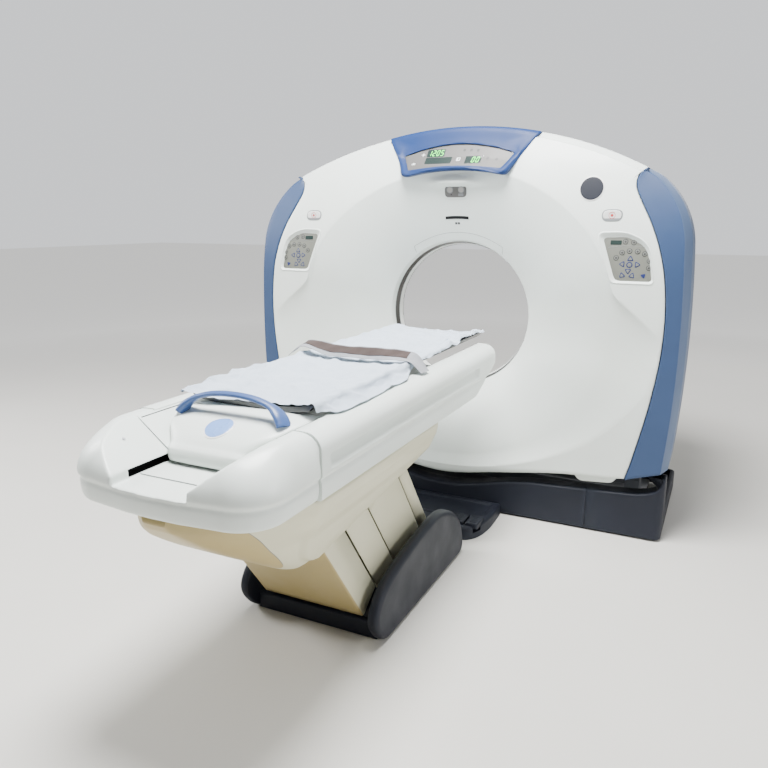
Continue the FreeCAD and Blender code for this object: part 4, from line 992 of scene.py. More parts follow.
def cameraPanel():
    # a dark rounded panel under the brow, with a pale lip, two lenses and a pin hole
    def panelY(x, z):
        return coverY(0 * x, 1.582 + 0.8 * (z - 1.582)) - 0.0062

    lip = plate("cameraLip", roundRect(0, 1.5815, 0.125, 0.066, 0.026), lambda x, z: panelY(x, z) + 0.002,
                0.008, 0.004, "coverWhite", "gantry", 5)
    face = plate("cameraFace", roundRect(0, 1.582, 0.112, 0.055, 0.02), lambda x, z: panelY(x, z) - 0.0002,
                 0.01, 0.002, "windowGrey", "gantry", 5)
    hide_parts("camera_panel")
    for x in (-0.029, 0.029):
        plate(f"lensRing{x:.3f}", circleLoop(x, 1.59, 0.0165, 40), lambda x, z: panelY(x, z) - 0.0012,
              0.004, 0.001, "ringGrey", "gantry", 3)
        plate(f"lensGlass{x:.3f}", circleLoop(x, 1.59, 0.013, 40), lambda x, z: panelY(x, z) - 0.0024,
              0.004, 0.0015, "lensPale", "gantry", 4)
    plate("cameraGrille", roundRect(0.027, 1.5665, 0.026, 0.012, 0.003), lambda x, z: panelY(x, z) - 0.0008,
          0.002, 0.0005, "ringGrey", "gantry", 3)
    # the pin hole is a flat near-black disc: painted shade of the hole
    plate("cameraPin", circleLoop(-0.022, 1.567, 0.0025, 16), lambda x, z: panelY(x, z) - 0.001,
          0.002, 0.0004, "darkGap", "gantry", 2)


cameraPanel()


def laserSlot():
    # a black arched slit over the bore, a pale lower lip and a small sensor under it
    angle = np.linspace(-1, 1, 30)
    top = np.column_stack([angle * 0.0605, 1.4668 - 0.003 * angle**2])
    low = np.column_stack([angle[::-1] * 0.0605, 1.4522 - 0.003 * angle[::-1]**2])
    loop = evenLoop(roundedLoop(np.vstack([top, low]), 0.004, 3), 90)
    lip = plate("laserLip", insetLoop(anticlockwise(loop), -0.0035) - [0, 0.0012],
                lambda x, z: coverY(x, z) - 0.0006, 0.004, 0.001, "coverWhite", "gantry", 3)
    slit = plate("laserSlit", loop, lambda x, z: coverY(x, z) - 0.0018, 0.004, 0.0004, "darkGap", "gantry", 3)
    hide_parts("laser_window")
    for x in (-0.007, 0.007):
        plate(f"sensor{x:.3f}", roundRect(x, 1.431, 0.0115, 0.011, 0.002), lambda x, z: coverY(x, z) - 0.0008,
              0.003, 0.0004, "keyGrey", "gantry", 2)


laserSlot()
print("pod, camera and laser made")


# The control panels: keys are laid out for the right panel in metres from its middle, and mirrored.
panelCentre = np.array([0.847, 1.2835])
keyPlaces = {
    "round": [(-0.0265, 0.0745), (0.0085, 0.0715), (-0.06, 0.005), (-0.0365, 0.028), (-0.0065, 0.035),
              (0.027, 0.034), (0.057, 0.024), (0.079, -0.005), (0.079, -0.035)],
    "arrow": [(0.0, 0.002, 90), (-0.032, -0.021, 180), (0.03, -0.022, 0), (-0.006, -0.05, 270),
              (-0.03, -0.07, 225), (0.012, -0.07, 315)],
    "small": [(0.059, -0.068, 45)],
    "home": (-0.002, -0.0235),
    # name, size, points round it, then how proud, how thick, edge and finish
    "roundLayers": [("keyRing", 0.0118, 28, 0.0006, 0.002, 0.0003, "keyGrey"),
                    ("key", 0.0088, 28, 0.0016, 0.002, 0.0008, "keyPale"),
                    ("keyMark", 0.0042, 12, 0.002, 0.001, 0.0002, "keyGrey")],
    "arrowLayers": [("arrowRing", 0.0165, 0.0006, 0.002, 0.0003, "keyBlue"),
                    ("arrow", 0.0098, 0.0018, 0.002, 0.0006, "keyPale")],
}


def panelPlate(name, loop, proud, thick, edge, material, side):
    loop = np.asarray(loop) * [side, 1]
    depth = keypad["recess"] - proud
    return plate(name, loop, lambda x, z: faceY(z) + depth, thick, edge, material, "gantry", 3)


def arrowLoop(x, z, turn, size):
    # a rounded triangle that points along the given turn
    corners = np.array([(1.0, 0), (-0.55, 0.95), (-0.55, -0.95)]) * size
    a = math.radians(turn)
    spun = corners @ np.array([[math.cos(a), math.sin(a)], [-math.sin(a), math.cos(a)]])
    return evenLoop(anticlockwise(roundedLoop(spun + [x, z], size * 0.55)), 30)


def controlPanel(side):
    name = sideName[side]
    board = panelPlate(f"panelBoard{name}", keypadLoop("panel", 96), 0.0, 0.006, 0.0012, "keypadGrey", side)
    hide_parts(f"keypad_{name.lower()}")
    centre = panelCentre
    panelPlate(f"panelReadout{name}", roundRect(centre[0] - 0.0655, centre[1] + 0.0705, 0.047, 0.019), 0.0012,
               0.002, 0.0004, "digitBack", side)
    arch = np.linspace(-0.098, 0.08, 40)
    line = np.column_stack([centre[0] + arch, centre[1] + 0.047 + 0.01 * (1 - ((arch + 0.005) / 0.095)**2)])
    line3d = np.column_stack([side * line[:, 0], faceY(line[:, 1]) + keypad["recess"], line[:, 1]])
    tubePiece(f"panelDivider{name}", line3d, 0.0008, "ringGrey", "gantry", 6)
    for x, z in keyPlaces["round"]:
        for kind, radius, count, *layer in keyPlaces["roundLayers"]:
            loop = circleLoop(centre[0] + x, centre[1] + z, radius, count)
            panelPlate(f"{kind}{name}{x:.3f}{z:.3f}", loop, *layer, side)
    for x, z, turn in keyPlaces["arrow"]:
        for kind, size, *layer in keyPlaces["arrowLayers"]:
            loop = arrowLoop(centre[0] + x, centre[1] + z, turn, size)
            panelPlate(f"{kind}{name}{x:.3f}{z:.3f}", loop, *layer, side)
    for x, z, turn in keyPlaces["small"]:
        panelPlate(f"arrowSmall{name}", arrowLoop(centre[0] + x, centre[1] + z, turn, 0.0135), 0.001,
                   0.002, 0.0004, "keyBlue", side)
    x, z = centre + np.array(keyPlaces["home"])
    panelPlate(f"homeRing{name}", circleLoop(x, z, 0.013), 0.0006, 0.002, 0.0003, "keyBlue", side)
    panelPlate(f"homeKey{name}", circleLoop(x, z, 0.0085), 0.0018, 0.002, 0.0006, "keyPale", side)


def stopButton(side):
    # a white oval cap in a grey gasket, with a red ring mark; the cap rides on its own slide
    name = sideName[side]
    x, z = 0.755 * side, 1.469
    face = faceY(z)

    def oval(grow):
        return roundRect(x, z, 0.08 + 2 * grow, 0.044 + 2 * grow, 0.026 + grow)

    gasket = plate(f"stopGasket{name}", oval(0.0042), lambda x, z: faceY(z) - 0.0016, 0.006, 0.0012,
                   "ringGrey", "gantry", 3)
    cap = plate(f"stopCap{name}", oval(-0.0012), lambda x, z: face - 0.0045 + 0 * x, 0.012, 0.0028,
                "stopWhite", f"stop_{name.lower()}", 5)
    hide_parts(f"estop_{name.lower()}")
    angle = np.linspace(0, math.tau, 40, endpoint=False)
    ring = np.column_stack([x + 0.0135 * np.cos(angle), 0 * angle + face - 0.0046,
                            z + 0.0135 * np.sin(angle)])
    tubePiece(f"stopRing{name}", ring, 0.001, "stopRed", f"stop_{name.lower()}", 6, closed=True)
    dot = plate(f"stopDot{name}", circleLoop(x, z, 0.006, 20), lambda x, z: face - 0.0052 + 0 * x,
                0.001, 0.0002, "stopRed", f"stop_{name.lower()}", 2)


for side in (1, -1):
    controlPanel(side)
    stopButton(side)
print("control panels made")


def plainDisc():
    # a bare round boss with a pale rim, on the face beside the right wing
    x, z = 0.655, 1.585
    rim = plate("discRimGantry", circleLoop(x, z, 0.0545, 64), lambda x, z: faceY(z) - 0.0022, 0.006, 0.0015,
                "stopWhite", "gantry", 3)
    face = plate("discFaceGantry", circleLoop(x, z, 0.05, 64), lambda x, z: faceY(z) - 0.0034, 0.004, 0.0012,
                 "slate", "gantry", 6)


plainDisc()


def coverTab():
    # the small moulded tab under the cover's hem near each foot of the wings
    for side in (1, -1):
        loop = roundedLoop([(side * x, z) for x, z in ((0.655, 0.285), (0.875, 0.3), (0.845, 0.252),
                                                       (0.69, 0.24))], 0.022)
        loop = evenLoop(anticlockwise(loop), 60)
        tab = plate(f"hemTab{side}", loop, lambda x, z: -0.205 + 0 * x, 0.03, 0.006, "coverWhite",
                    "gantry", 4)


coverTab()

# plinth

plinth = {"front": -0.2105, "half": 1.0745, "rear": 0.5895, "seam": 0.7315, "edge": 0.012, "foot": 0.006}


def plinthTop(x):
    spots = np.array([(0, 0.117), (0.1, 0.122), (0.2, 0.142), (0.33, 0.172), (0.458, 0.191), (0.604, 0.197),
                      (0.79, 0.207), (0.968, 0.218), (1.03, 0.236), (1.058, 0.262), (1.0745, 0.298)])
    return np.interp(np.abs(x), spots[:, 0], spots[:, 1])


def plinthPiece(name, path, inward, top, node):
    # a wall along a path: it rises, rounds its top edge and runs inwards as a ledge
    edge = plinth["edge"]
    turn = np.linspace(0, math.pi / 2, 6)
    foot = plinth["foot"]
    layers = [atHeight(path + inward * shift, height)
              for shift, height in ((0.006, foot), (0.0, foot + 0.008))]
    for a in turn:
        shift = edge * (1 - math.cos(a))
        layers.append(np.column_stack([path + inward * shift, top - edge + edge * math.sin(a)]))
    layers.append(np.column_stack([path + inward * 0.085, top + 0.0005]))
    piece = gridPiece(name, np.array(layers), "slate", "base", facing=(0, 0, 1), wall=0.005, sharp=30)
    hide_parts(node)


def makePlinth():
    seam, half, front, rearY = plinth["seam"], plinth["half"], plinth["front"], plinth["rear"]
    across = np.linspace(-seam, seam, 90)
    path = np.column_stack([across, np.full(90, front)])
    plinthPiece("plinthFront", path, np.tile([0.0, 1.0], (90, 1)), plinthTop(across), "plinth_front_cover")
    for side in (1, -1):
        run = [(seam + 0.0015, front)] + [(x, front) for x in (0.8, 0.88, 0.95, 1.0)]
        corner = arcPoints((half - 0.035, front), (half, front + 0.035), 0.035, 9)
        back = [(half, y) for y in (-0.15, -0.11, -0.09, -0.075, -0.06, -0.045, -0.03, 0.1, 0.3, 0.5)]
        rearCorner = arcPoints((half, rearY - 0.035), (half - 0.035, rearY), 0.035, 9)
        end = [(0.9, rearY), (seam + 0.0015, rearY)]
        path = np.vstack([run, corner, back, rearCorner, end])
        tangent = np.gradient(path, axis=0)
        inward = np.column_stack([-tangent[:, 1], tangent[:, 0]])
        inward /= np.linalg.norm(inward, axis=1)[:, None]
        sideTop = 0.298 - (0.298 - 0.0995) * smoothStep(path[:, 1], -0.095, -0.035)
        top = np.where(path[:, 0] < half - 0.001, plinthTop(path[:, 0]), sideTop)
        top = np.where(path[:, 1] > -0.05, 0.0995, top)
        name = sideName[side]
        inward[len(run) + len(corner) - 1:] *= 0.25
        plinthPiece(f"plinthEnd{name}", path * [side, 1], inward * [side, 1], top,
                    f"plinth_end_{name.lower()}")
    path = np.column_stack([np.linspace(seam, -seam, 30), np.full(30, rearY)])
    plinthPiece("plinthRear", path, np.tile([0.0, -0.3], (30, 1)), np.full(30, 0.0995), "plinth_rear_cover")


makePlinth()
print("plinth made")

# The patient table: widths are measured from its middle, and lengths along the bore axis.

table = {"half": 0.33, "top": 0.905, "bottom": 0.7155, "seam": -1.9565, "end": -0.43,
         "troughFloor": 0.7765, "pocketDepth": 0.019}


def endOf(z):
    # the shell's gantry end leans back under itself
    return np.interp(z, [0.69, 0.717, 0.73, 0.822, 0.83], [-0.72, -0.69, -0.65, -0.434, table["end"]])


def tableShell():
    # a channel section carried along the table, with a long rounded pocket pressed into each side
    corner = arcPoints((0.33, 0.852), (0.279, 0.9048), 0.0525, 12)
    side = [(0.0, 0.7155), (0.15, 0.7155), (0.27, 0.7155), (0.316, 0.7155), (0.3235, 0.7165), (0.327, 0.7205),
            (0.3278, 0.735), (0.3282, 0.755), (0.3275, 0.768), (0.3245, 0.7745), (0.3245, 0.7775),
            (0.3285, 0.7825), (0.33, 0.7885)]
    side += [(0.33, z) for z in np.linspace(0.7915, 0.8455, 19)]
    outer = np.vstack([side, corner, [(0.262, 0.905), (0.2465, 0.9046), (0.2425, 0.9022)]])
    wall = [(0.2415, z) for z in np.linspace(0.8995, table["troughFloor"], len(outer) // 2)]
    floor = [(x, table["troughFloor"]) for x in np.linspace(0.238, 0, len(outer) - len(outer) // 2)]
    inner = np.array(wall + floor)[::-1]
    outer = np.vstack([outer[:0:-1] * [-1, 1], outer])
    inner = np.vstack([inner[:0:-1] * [-1, 1], inner])[::-1]
    ring = np.vstack([outer, inner])
    middle = (outer + inner[::-1]) / 2
    middle = np.vstack([middle, middle[::-1]])
    share = np.concatenate([np.linspace(0, 0.045, 10), np.linspace(0.05, 0.8, 60),
                            np.linspace(0.81, 0.88, 16),
                            np.linspace(0.89, 0.996, 14)])
    x, z = ring.T
    y = table["seam"] + share[:, None] * (endOf(z) - table["seam"])
    length = smoothStep(y, -1.914, -1.893) * (1 - smoothStep(y, -0.672, -0.651))
    height = np.clip((z - 0.795) / 0.034, 0, 1)**0.8 * (1 - smoothStep(z, 0.833, 0.8385))
    press = table["pocketDepth"] * length * height * (np.abs(x) > 0.31)
    rows = np.stack([x - np.sign(x) * press, y, np.broadcast_to(z, y.shape)], -1)

    def closing(amount, level):
        place = ring + (middle - ring) * amount
        return [np.column_stack([place[:, 0], level, place[:, 1]])]

    points = np.concatenate([closing(1.0, y[0]), closing(0.15, y[0]), rows,
                             closing(0.15, endOf(z)), closing(1.0, endOf(z))])
    piece = gridPiece("tableShell", points, "coverWhite", "table", closedCols=True, sharp=30)
    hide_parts("table_top_shell")


tableShell()

cap = {"front": -2.264, "corner": 0.118, "sideRound": 0.056, "frontRound": 0.118, "belt": 0.7835,
       "lipHalf": 0.1235, "voxel": 0.0036}


def capPlan(inset, count=220):
    # the cap seen from above: a rounded front drawn in towards a point behind it, and a straight back
    front, corner, half = cap["front"], cap["corner"], table["half"]
    right = [(half, table["seam"] - 0.0015), (half, front + corner + 0.03)]
    right += list(arcPoints((half, front + corner + 0.03), (half - corner, front + 0.022), -corner * 1.02,
                            14)[1:])
    right += [(0.09, front + 0.004)]
    loop = np.vstack([right, [(0, front)], np.array(right)[::-1] * [-1, 1]])
    loop = evenLoop(anticlockwise(loop), count)
    centre = np.array([0, -2.06])
    reach = np.linalg.norm(loop - centre, axis=1)[:, None]
    inner = centre + (loop - centre) * np.maximum(reach - inset, 0.002) / reach
    back = loop[:, 1] > table["seam"] - 0.01
    inner[back, 1] = np.minimum(loop[back, 1], table["seam"] - 0.0015)
    return inner


def capTop(y):
    return table["top"] - 0.03 * smoothStep(-y, 2.06, 2.26)


def endCap():
    # stacked plan outlines: a tucked-in hem, a belt groove, then sides that round over to a falling top
    rows = []
    for inset, height in ((0.1, 0.7155), (0.026, 0.7155), (0.016, 0.7175), (0.011, 0.724), (0.0075, 0.74),
                          (0.0055, 0.76), (0.006, 0.768), (0.01, 0.7735), (0.01, 0.7785),
                          (0.001, 0.7845)):
        rows.append(atHeight(capPlan(inset), height))
    outer = capPlan(0)
    frontness = smoothStep(-outer[:, 1], 2.04, 2.2)
    width = cap["sideRound"] + (cap["frontRound"] - cap["sideRound"]) * frontness
    back = outer[:, 1] > table["seam"] - 0.004
    for angle in np.linspace(0, math.pi / 2, 16):
        inset = width * (1 - math.cos(angle))
        plan = outer + (capPlan(0.1) - outer) / 0.1 * np.where(back, 0, inset)[:, None]
        height = cap["belt"] + 0.004 + (capTop(plan[:, 1]) - cap["belt"] - 0.004) * math.sin(angle)
        sideCorner = table["top"] - cap["sideRound"] + np.sqrt(np.maximum(
            cap["sideRound"]**2 - np.maximum(np.abs(plan[:, 0]) - (table["half"] - cap["sideRound"]), 0)**2,
            0))
        height = np.where(back, np.minimum(capTop(plan[:, 1]), sideCorner) * math.sin(angle)
                          + cap["belt"] * (1 - math.sin(angle)), height)
        rows.append(np.column_stack([plan, height]))
    last = rows[-1]
    for share in (0.75, 0.5, 0.25):
        plan = np.array([0, -2.06]) + (last[:, :2] - [0, -2.06]) * share
        rows.append(np.column_stack([plan, capTop(plan[:, 1])]))
    return solidOf("endCap", rows, "coverWhite", "table")


def prismAlongY(name, section, low, high):
    section = np.asarray(section, float)
    loops = [np.column_stack([section[:, 0], np.full(len(section), y), section[:, 1]]) for y in (low, high)]
    return solidOf(name, loops, "coverWhite", "table")


def finishedCap():
    # the cap eased round, then cut for the channel and the slots beside its floor
    lip = cap["lipHalf"]
    slope = (0.238 - 0.124) / (0.899 - 0.811)
    trough = prismAlongY("capTrough", [(-lip, 0.7845), (lip, 0.7845), (lip, 0.811),
                                       (lip + slope * 0.2, 1.011),
                                       (-lip - slope * 0.2, 1.011), (-lip, 0.811)], -2.4, -1.9)
    piece = cutFrom(softened(endCap(), cap["voxel"], 3), [trough])
    softened(piece, cap["voxel"], 9)
    slots = []
    for side in (1, -1):
        low, high = (side * 0.118, side * 0.158), (0.7868, 0.8095)
        corners = [(low[0], high[0]), (low[1], high[0]), (low[1], high[1]), (low[0], high[1])]
        slots.append(prismAlongY(f"slotCut{side}", corners, -2.19, -1.945))
        # near-black sheets over each slot's floor, outer wall and ceiling: painted shade inside the slot
        inside = [(side * 0.1572, 0.7873), (side * 0.128, 0.7873), (side * 0.128, 0.7868),
                  (side * 0.1578, 0.7868),
                  (side * 0.1578, 0.81), (side * 0.128, 0.81), (side * 0.128, 0.8095),
                  (side * 0.1572, 0.8095)]
        slotShade = prismAlongY(f"slotShadeSheet{side}", inside, -2.189, -1.946)
        slotShade.data.materials[0] = finishes["darkGap"]
    cutFrom(piece, slots)
    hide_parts("table_end_cap")


finishedCap()
print("table shell and end cap made")


def seamTube(name, path, radius, body, material="ringGrey"):
    return tubePiece(name, path, radius, material, body, 6)


def channelLiner():
    # two sloping walls that meet the cap at its hatch seam, and a floor plate with open slots beside it
    wall = np.array([(0.1235, 0.8105), (0.125, 0.8165), (0.2345, 0.899), (0.2385, 0.901), (0.2385, 0.894),
                     (0.13, 0.8105)])
    for side in (1, -1):
        loops = [np.column_stack([side * wall[:, 0], np.full(len(wall), y), wall[:, 1]])
                 for y in np.linspace(-2.03, -0.46, 12)]
        piece = solidOf(f"linerWall{side}", loops, "coverWhite", "table")
        if side > 0:
            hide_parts("channel_liner")
    floor = [(-0.24, 0.7825), (0.24, 0.7825), (0.24, 0.7862), (-0.24, 0.7862)]
    prismAlongY("linerFloor", floor, -2.15, -0.46)


channelLiner()


def troughDetails():
    # a hatch line and a screw on each sloping wall, and the joint across the floor plate
    def onWall(y, share, side, proud=0.0006):
        x, z = 0.124 + 0.114 * share, 0.816 + 0.083 * share
        return (side * (x - 0.59 * proud), y, z + 0.8 * proud)

    for side in (1, -1):
        path = np.array([onWall(-2.031, s, side, -0.0004) for s in np.linspace(0.0, 0.98, 12)])
        seamTube(f"hatchSeam{side}", path, 0.0008, "table")
        top = np.array([onWall(y, 0.955, side) for y in np.linspace(-2.022, -1.8, 12)])
        seamTube(f"hatchTop{side}", top, 0.0024, "table", "darkGap")
        x, y, z = onWall(-2.128, 0.62, side)
        angle = np.linspace(0, math.tau, 20, endpoint=False)
        across, up = np.array([0, 1.0, 0]), np.array([side * 0.81, 0, 0.59])
        rings = []
        for radius, proud in ((0.0048, -0.001), (0.0048, 0.0006), (0.0036, 0.0014), (0.0016, 0.0014),
                              (0.0014, 0.0)):
            centre = np.array([x, y, z]) + proud * np.array([-side * 0.59, 0, 0.81])
            rings.append(centre + radius * (np.cos(angle)[:, None] * across + np.sin(angle)[:, None] * up))
        solidOf(f"wallScrew{side}", rings, "castAlloy", "table")
    across = np.column_stack([np.linspace(-0.121, 0.121, 12), np.full(12, -2.15), np.full(12, 0.7866)])
    seamTube("floorSeam", across, 0.0009, "table")
    plate("floorScrew", circleLoop(0, 0, 0.003, 16), lambda x, z: 0 * x, 0.002, 0.0004, "darkGap",
          "table", 2).data.transform(((1, 0, 0, -0.035), (0, 0, 1, -2.085), (0, -1, 0, 0.7866), (0, 0, 0, 1)))


troughDetails()


def belly():
    # a hull whose keel falls to its deepest under the foot end, then rises to the gantry end
    y = np.concatenate([np.linspace(-2.238, -2.155, 16), np.linspace(-2.15, -1.8, 66),
                        np.linspace(-1.79, -1.1, 46)])
    base, t = np.meshgrid(y, np.linspace(0, 1, 44), indexing="ij")
    sheared = smoothStep(base, -2.238, -2.16) * (1 - smoothStep(base, -2.1, -1.7))
    place = base
    for _ in range(8):  # rows lean so that one of them lies along the panel seam
        low = np.interp(place, [-2.24, -2.225, -2.153, -2.077, -1.951, -1.9, -1.868, -1.835, -1.79, -1.1],
                        [0.7, 0.676, 0.612, 0.558, 0.478, 0.446, 0.432, 0.427, 0.4265, 0.527])
        z = 0.7135 - (0.7135 - low) * np.sin(t * math.pi / 2)**0.9
        place = base + 0.92 * (0.7135 - z) * sheared
    half = sum(np.interp(place + shift,
                         [-2.24, -2.225, -2.2, -2.17, -2.138, -2.09, -2.04, -1.99, -1.94, -1.1],
                         [0.03, 0.055, 0.092, 0.126, 0.158, 0.205, 0.252, 0.292, 0.32, 0.32])
               for shift in (-0.012, 0, 0.012)) / 3
    share = np.interp(z, [0.4, 0.48, 0.53, 0.572, 0.596, 0.618, 0.64, 0.672, 0.7, 0.7135],
                      [0.7, 0.715, 0.735, 0.765, 0.815, 0.88, 0.93, 0.982, 0.998, 1.0])
    x = half * share * (1 - t**3.6)**0.42
    nose = np.interp(z, [0.45, 0.465, 0.475, 0.5, 0.521, 0.584, 0.629, 0.662, 0.7],
                     [-1.8, -1.835, -1.867, -1.905, -1.92, -1.939, -1.931, -1.893, -1.8])
    bulge = smoothStep(place - nose, -0.004, 0.016) * smoothStep(z, low + 0.002, low + 0.026) * (x > 0.1)
    bulge *= 1 - smoothStep(z, 0.59, 0.655)
    x = np.minimum(x + 0.016 * bulge, 0.3268)
    right = np.stack([x, place, z], -1)
    points = np.concatenate([right, right[:, -2::-1] * [-1, 1, 1]], 1)
    front = points[:1].copy()
    front[..., 2] = 0.7135
    points = np.concatenate([front, points])
    piece = gridPiece("bellyShell", points, "bellyTan", "table", facing=(0, -0.2, -1), wall=0.004, sharp=28)
    piece.data.materials.append(finishes["bellyCream"])
    seamRow = 17
    paint(piece, np.repeat((np.arange(len(points) - 1) >= seamRow).astype(np.int32), points.shape[1] - 1))
    for side in (1, -1):
        path = points[seamRow, :32] * [side, 1, 1] + [side * 0.0002, 0, -0.0002]
        seamTube(f"bellySeam{side}", path, 0.0008, "table")
    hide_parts("belly_shell")


belly()


def leanedPoints(points, pivotY, pivotZ):
    # from a leg cover's own upright frame to its place leaning away from the gantry
    a = math.radians(36)
    points = np.asarray(points, float)
    y, z = points[..., 1], points[..., 2]
    return np.stack([points[..., 0], pivotY + y * math.cos(a) - z * math.sin(a),
                     pivotZ + y * math.sin(a) + z * math.cos(a)], -1)


legs = {  # lower pivot (y, z), half-width, front and back edges, and the height that each covers
    "legFront": {"pivot": (-1.44, 0.08), "half": 0.2095, "front": -0.037, "back": 0.079, "low": 0.045,
                 "high": 0.555},
    "slatFront": {"pivot": (-1.26, 0.1), "half": 0.2045, "front": -0.064, "back": 0.0715, "low": 0.03,
                  "high": 0.56},
    "slatRear": {"pivot": (-1.03, 0.1), "half": 0.201, "front": -0.1065, "back": 0.1095, "low": 0.03,
                 "high": 0.545},
    "legRear": {"pivot": (-0.873, 0.2), "half": 0.1975, "front": -0.07, "back": 0.0, "low": 0.01,
                "high": 0.42},
}


def sheetChannel(name, path, low, high, pivot, finish, body):
    # a bent sheet: its plan path repeated up the leg, with a wall, leaned into place
    path = np.asarray(path, float)
    points = np.array([atHeight(path, level) for level in np.linspace(low, high, 16)])
    return gridPiece(name, leanedPoints(points, *pivot), finish, body, wall=0.0025, sharp=30)


def bentPath(half, front, back, corner=0.01):
    turn = np.linspace(0, math.pi / 2, 6)
    right = [(half, back), (half, front + corner + 0.01)]
    right += [(half - corner + corner * math.cos(a), front + corner - corner * math.sin(a)) for a in turn]
    flat = [(x, front) for x in np.linspace(half - corner - 0.01, 0, 8)]
    right = np.vstack([right, flat])
    return np.vstack([right, right[-2::-1] * [-1, 1]])


def legCovers():
    # bent sheets round the lift: one at the front, one at the back and two leaves down each side
    front = legs["legFront"]
    piece = sheetChannel("legFront", bentPath(front["half"], front["front"], front["back"]), front["low"],
                         front["high"], front["pivot"], "bellyTan", "front_cover_link")
    piece.data.materials.append(finishes["slatCream"])
    paint(piece, (np.abs(faceCentres(piece)[:, 0]) > 0.207).astype(np.int32))
    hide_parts("leg_front_cover")
    rear = legs["legRear"]
    path = bentPath(rear["half"], 0, 0.07) * [1, -1]
    piece = sheetChannel("legRear", path, rear["low"], rear["high"], rear["pivot"], "slatCream",
                         "rear_cover_link")
    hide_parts("leg_rear_cover")
    for name, body, node in (("slatFront", "front_slat_link", "leg_slats_front"),
                             ("slatRear", "rear_slat_link", "leg_slats_rear")):
        leaf = legs[name]
        for side in (1, -1):
            x = side * leaf["half"]
            fold = 0.006 * side
            edge = [(x - fold * 2.4, leaf["front"] + 0.004), (x - fold * 0.4, leaf["front"] + 0.001),
                    (x, leaf["front"] + 0.007), (x, leaf["front"] + 0.05), (x, leaf["back"] - 0.05),
                    (x, leaf["back"] - 0.007), (x - fold * 0.4, leaf["back"] - 0.001),
                    (x - fold * 2.4, leaf["back"] - 0.004)]
            sheetChannel(f"{name}{sideName[side]}", edge, leaf["low"], leaf["high"],
                                       leaf["pivot"], "slatCream", body)
        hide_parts(node)


legCovers()
print("belly and leg covers made")


def sidePlate(name, loop, face, thick, edge, material, body, side):
    # a panel facing sideways: loop is (y, z), and its outer rim rounds over by edge
    layers = [(0.012, thick), (0.003, thick), (0.0, thick - 0.003), *roundEdge(edge, 8, 0.8)]
    stack = [np.column_stack([np.full(len(ring), side * (face - depth)), ring])
             for ring, depth, _ in panelRings(loop, layers, edge, 8)]
    return closedPanel(name, stack, material, body, 50)


def skirts():
    # long rounded fairings beside the leg, thick at the gantry end and tapering to the floor at the foot
    corners = [(-1.478, 0.0005), (-0.69, 0.0005), (-0.668, 0.06), (-0.735, 0.2), (-0.934, 0.3),
               (-1.143, 0.285), (-1.345, 0.25), (-1.49, 0.212), (-1.568, 0.11)]
    radii = [0.05, 0.03, 0.09, 0.16, 0.14, 0.1, 0.12, 0.1, 0.12]
    loop = evenLoop(anticlockwise(roundedLoop(corners, radii, 12)), 200)
    for side in (1, -1):
        name = sideName[side]
        piece = sidePlate(f"skirt{name}", loop, 0.2895, 0.0385, 0.022, "slate", "base", side)
        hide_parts(f"table_skirt_{name.lower()}")


skirts()


def topPlate(name, loop, top, thick, edge, material, body, rings=5, dip=None):
    # a slab seen from above: loop is (x, y), its upper rim rounds over by edge, dip(x, y) lowers its top
    stack = []
    for ring, depth, onFace in panelRings(loop, [(0.0, thick), *roundEdge(edge, 6)], edge, rings):
        level = top - dip(ring[:, 0], ring[:, 1]) if onFace and dip else np.full(len(ring), top - depth)
        stack.append(np.column_stack([ring, level]))
    return closedPanel(name, stack, material, body, 40)


def pedalUnit():
    # a low dished housing with two wells, a ribbed pedal in each and raised treads beside them
    plan = [(-0.32, -0.2165), (-0.328, -0.42), (-0.3, -0.54), (-0.24, -0.592), (0.24, -0.592),
            (0.3, -0.545), (0.328, -0.42), (0.32, -0.2165)]
    loop = evenLoop(anticlockwise(roundedLoop(plan, [0.005, 0.1, 0.06, 0.06, 0.06, 0.07, 0.1, 0.005])), 160)

    def dish(x, y):
        along = 0.01 * smoothStep(-y, 0.235, 0.262) * (1 - smoothStep(-y, 0.43, 0.455))
        return along * (1 - smoothStep(np.abs(x), 0.28, 0.3))

    housing = topPlate("pedalHousing", loop, 0.0615, 0.061, 0.014, "slate", "base", 34, dish)
    wells = []
    for low, high in ((0.1745, 0.2395), (0.2445, 0.3095)):
        box = [(low, -0.5485), (high, -0.5485), (high, -0.4375), (low, -0.4375)]
        well = evenLoop(roundedLoop(box, 0.006), 40)
        wells.append(solidOf("pedalWell", [atHeight(well, z) for z in (0.03, 0.1)], "slate", "base"))
    cutFrom(housing, wells)
    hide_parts("pedal_housing")
    for name, low, high in (("lower", 0.1765, 0.2375), ("raise", 0.2465, 0.3075)):
        box = [(low, -0.5455), (high, -0.5455), (high, -0.4405), (low, -0.4405)]
        loop = evenLoop(roundedLoop(box, 0.008), 60)

        def ribs(x, y):
            return 0.0014 * (np.sin(y * 2 * math.pi / 0.012) > 0.1) * (y < -0.462) * (y > -0.532)

        pad = topPlate(f"pedal{name.capitalize()}", loop, 0.0735, 0.024, 0.005, "slate", f"pedal_{name}", 30,
                       ribs)
        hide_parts(f"pedal_{name}")
    for x in np.linspace(-0.2, 0.24, 5):
        rib = [(x - 0.03, -0.47), (x + 0.03, -0.47), (x + 0.03, -0.478), (x - 0.03, -0.478)]
        topPlate(f"treadRib{x:.2f}", evenLoop(roundedLoop(rib, 0.004), 24), 0.0632, 0.004, 0.0015, "slate",
                 "base", 2)


pedalUnit()


def kickBar():
    # a bar with a rounded top edge between the skirts
    section = evenLoop(anticlockwise(roundedLoop(
        [(-1.4745, 0.0005), (-1.4505, 0.0005), (-1.4505, 0.0665), (-1.4745, 0.0665)],
        [0.002, 0.002, 0.006, 0.012])), 40)
    loops = [np.column_stack([np.full(len(section), x), section]) for x in np.linspace(-0.2485, 0.2485, 12)]
    piece = solidOf("kickBar", loops, "slate", "base")
    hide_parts("kick_bar")


kickBar()
print("skirts, pedals and kick bar made")

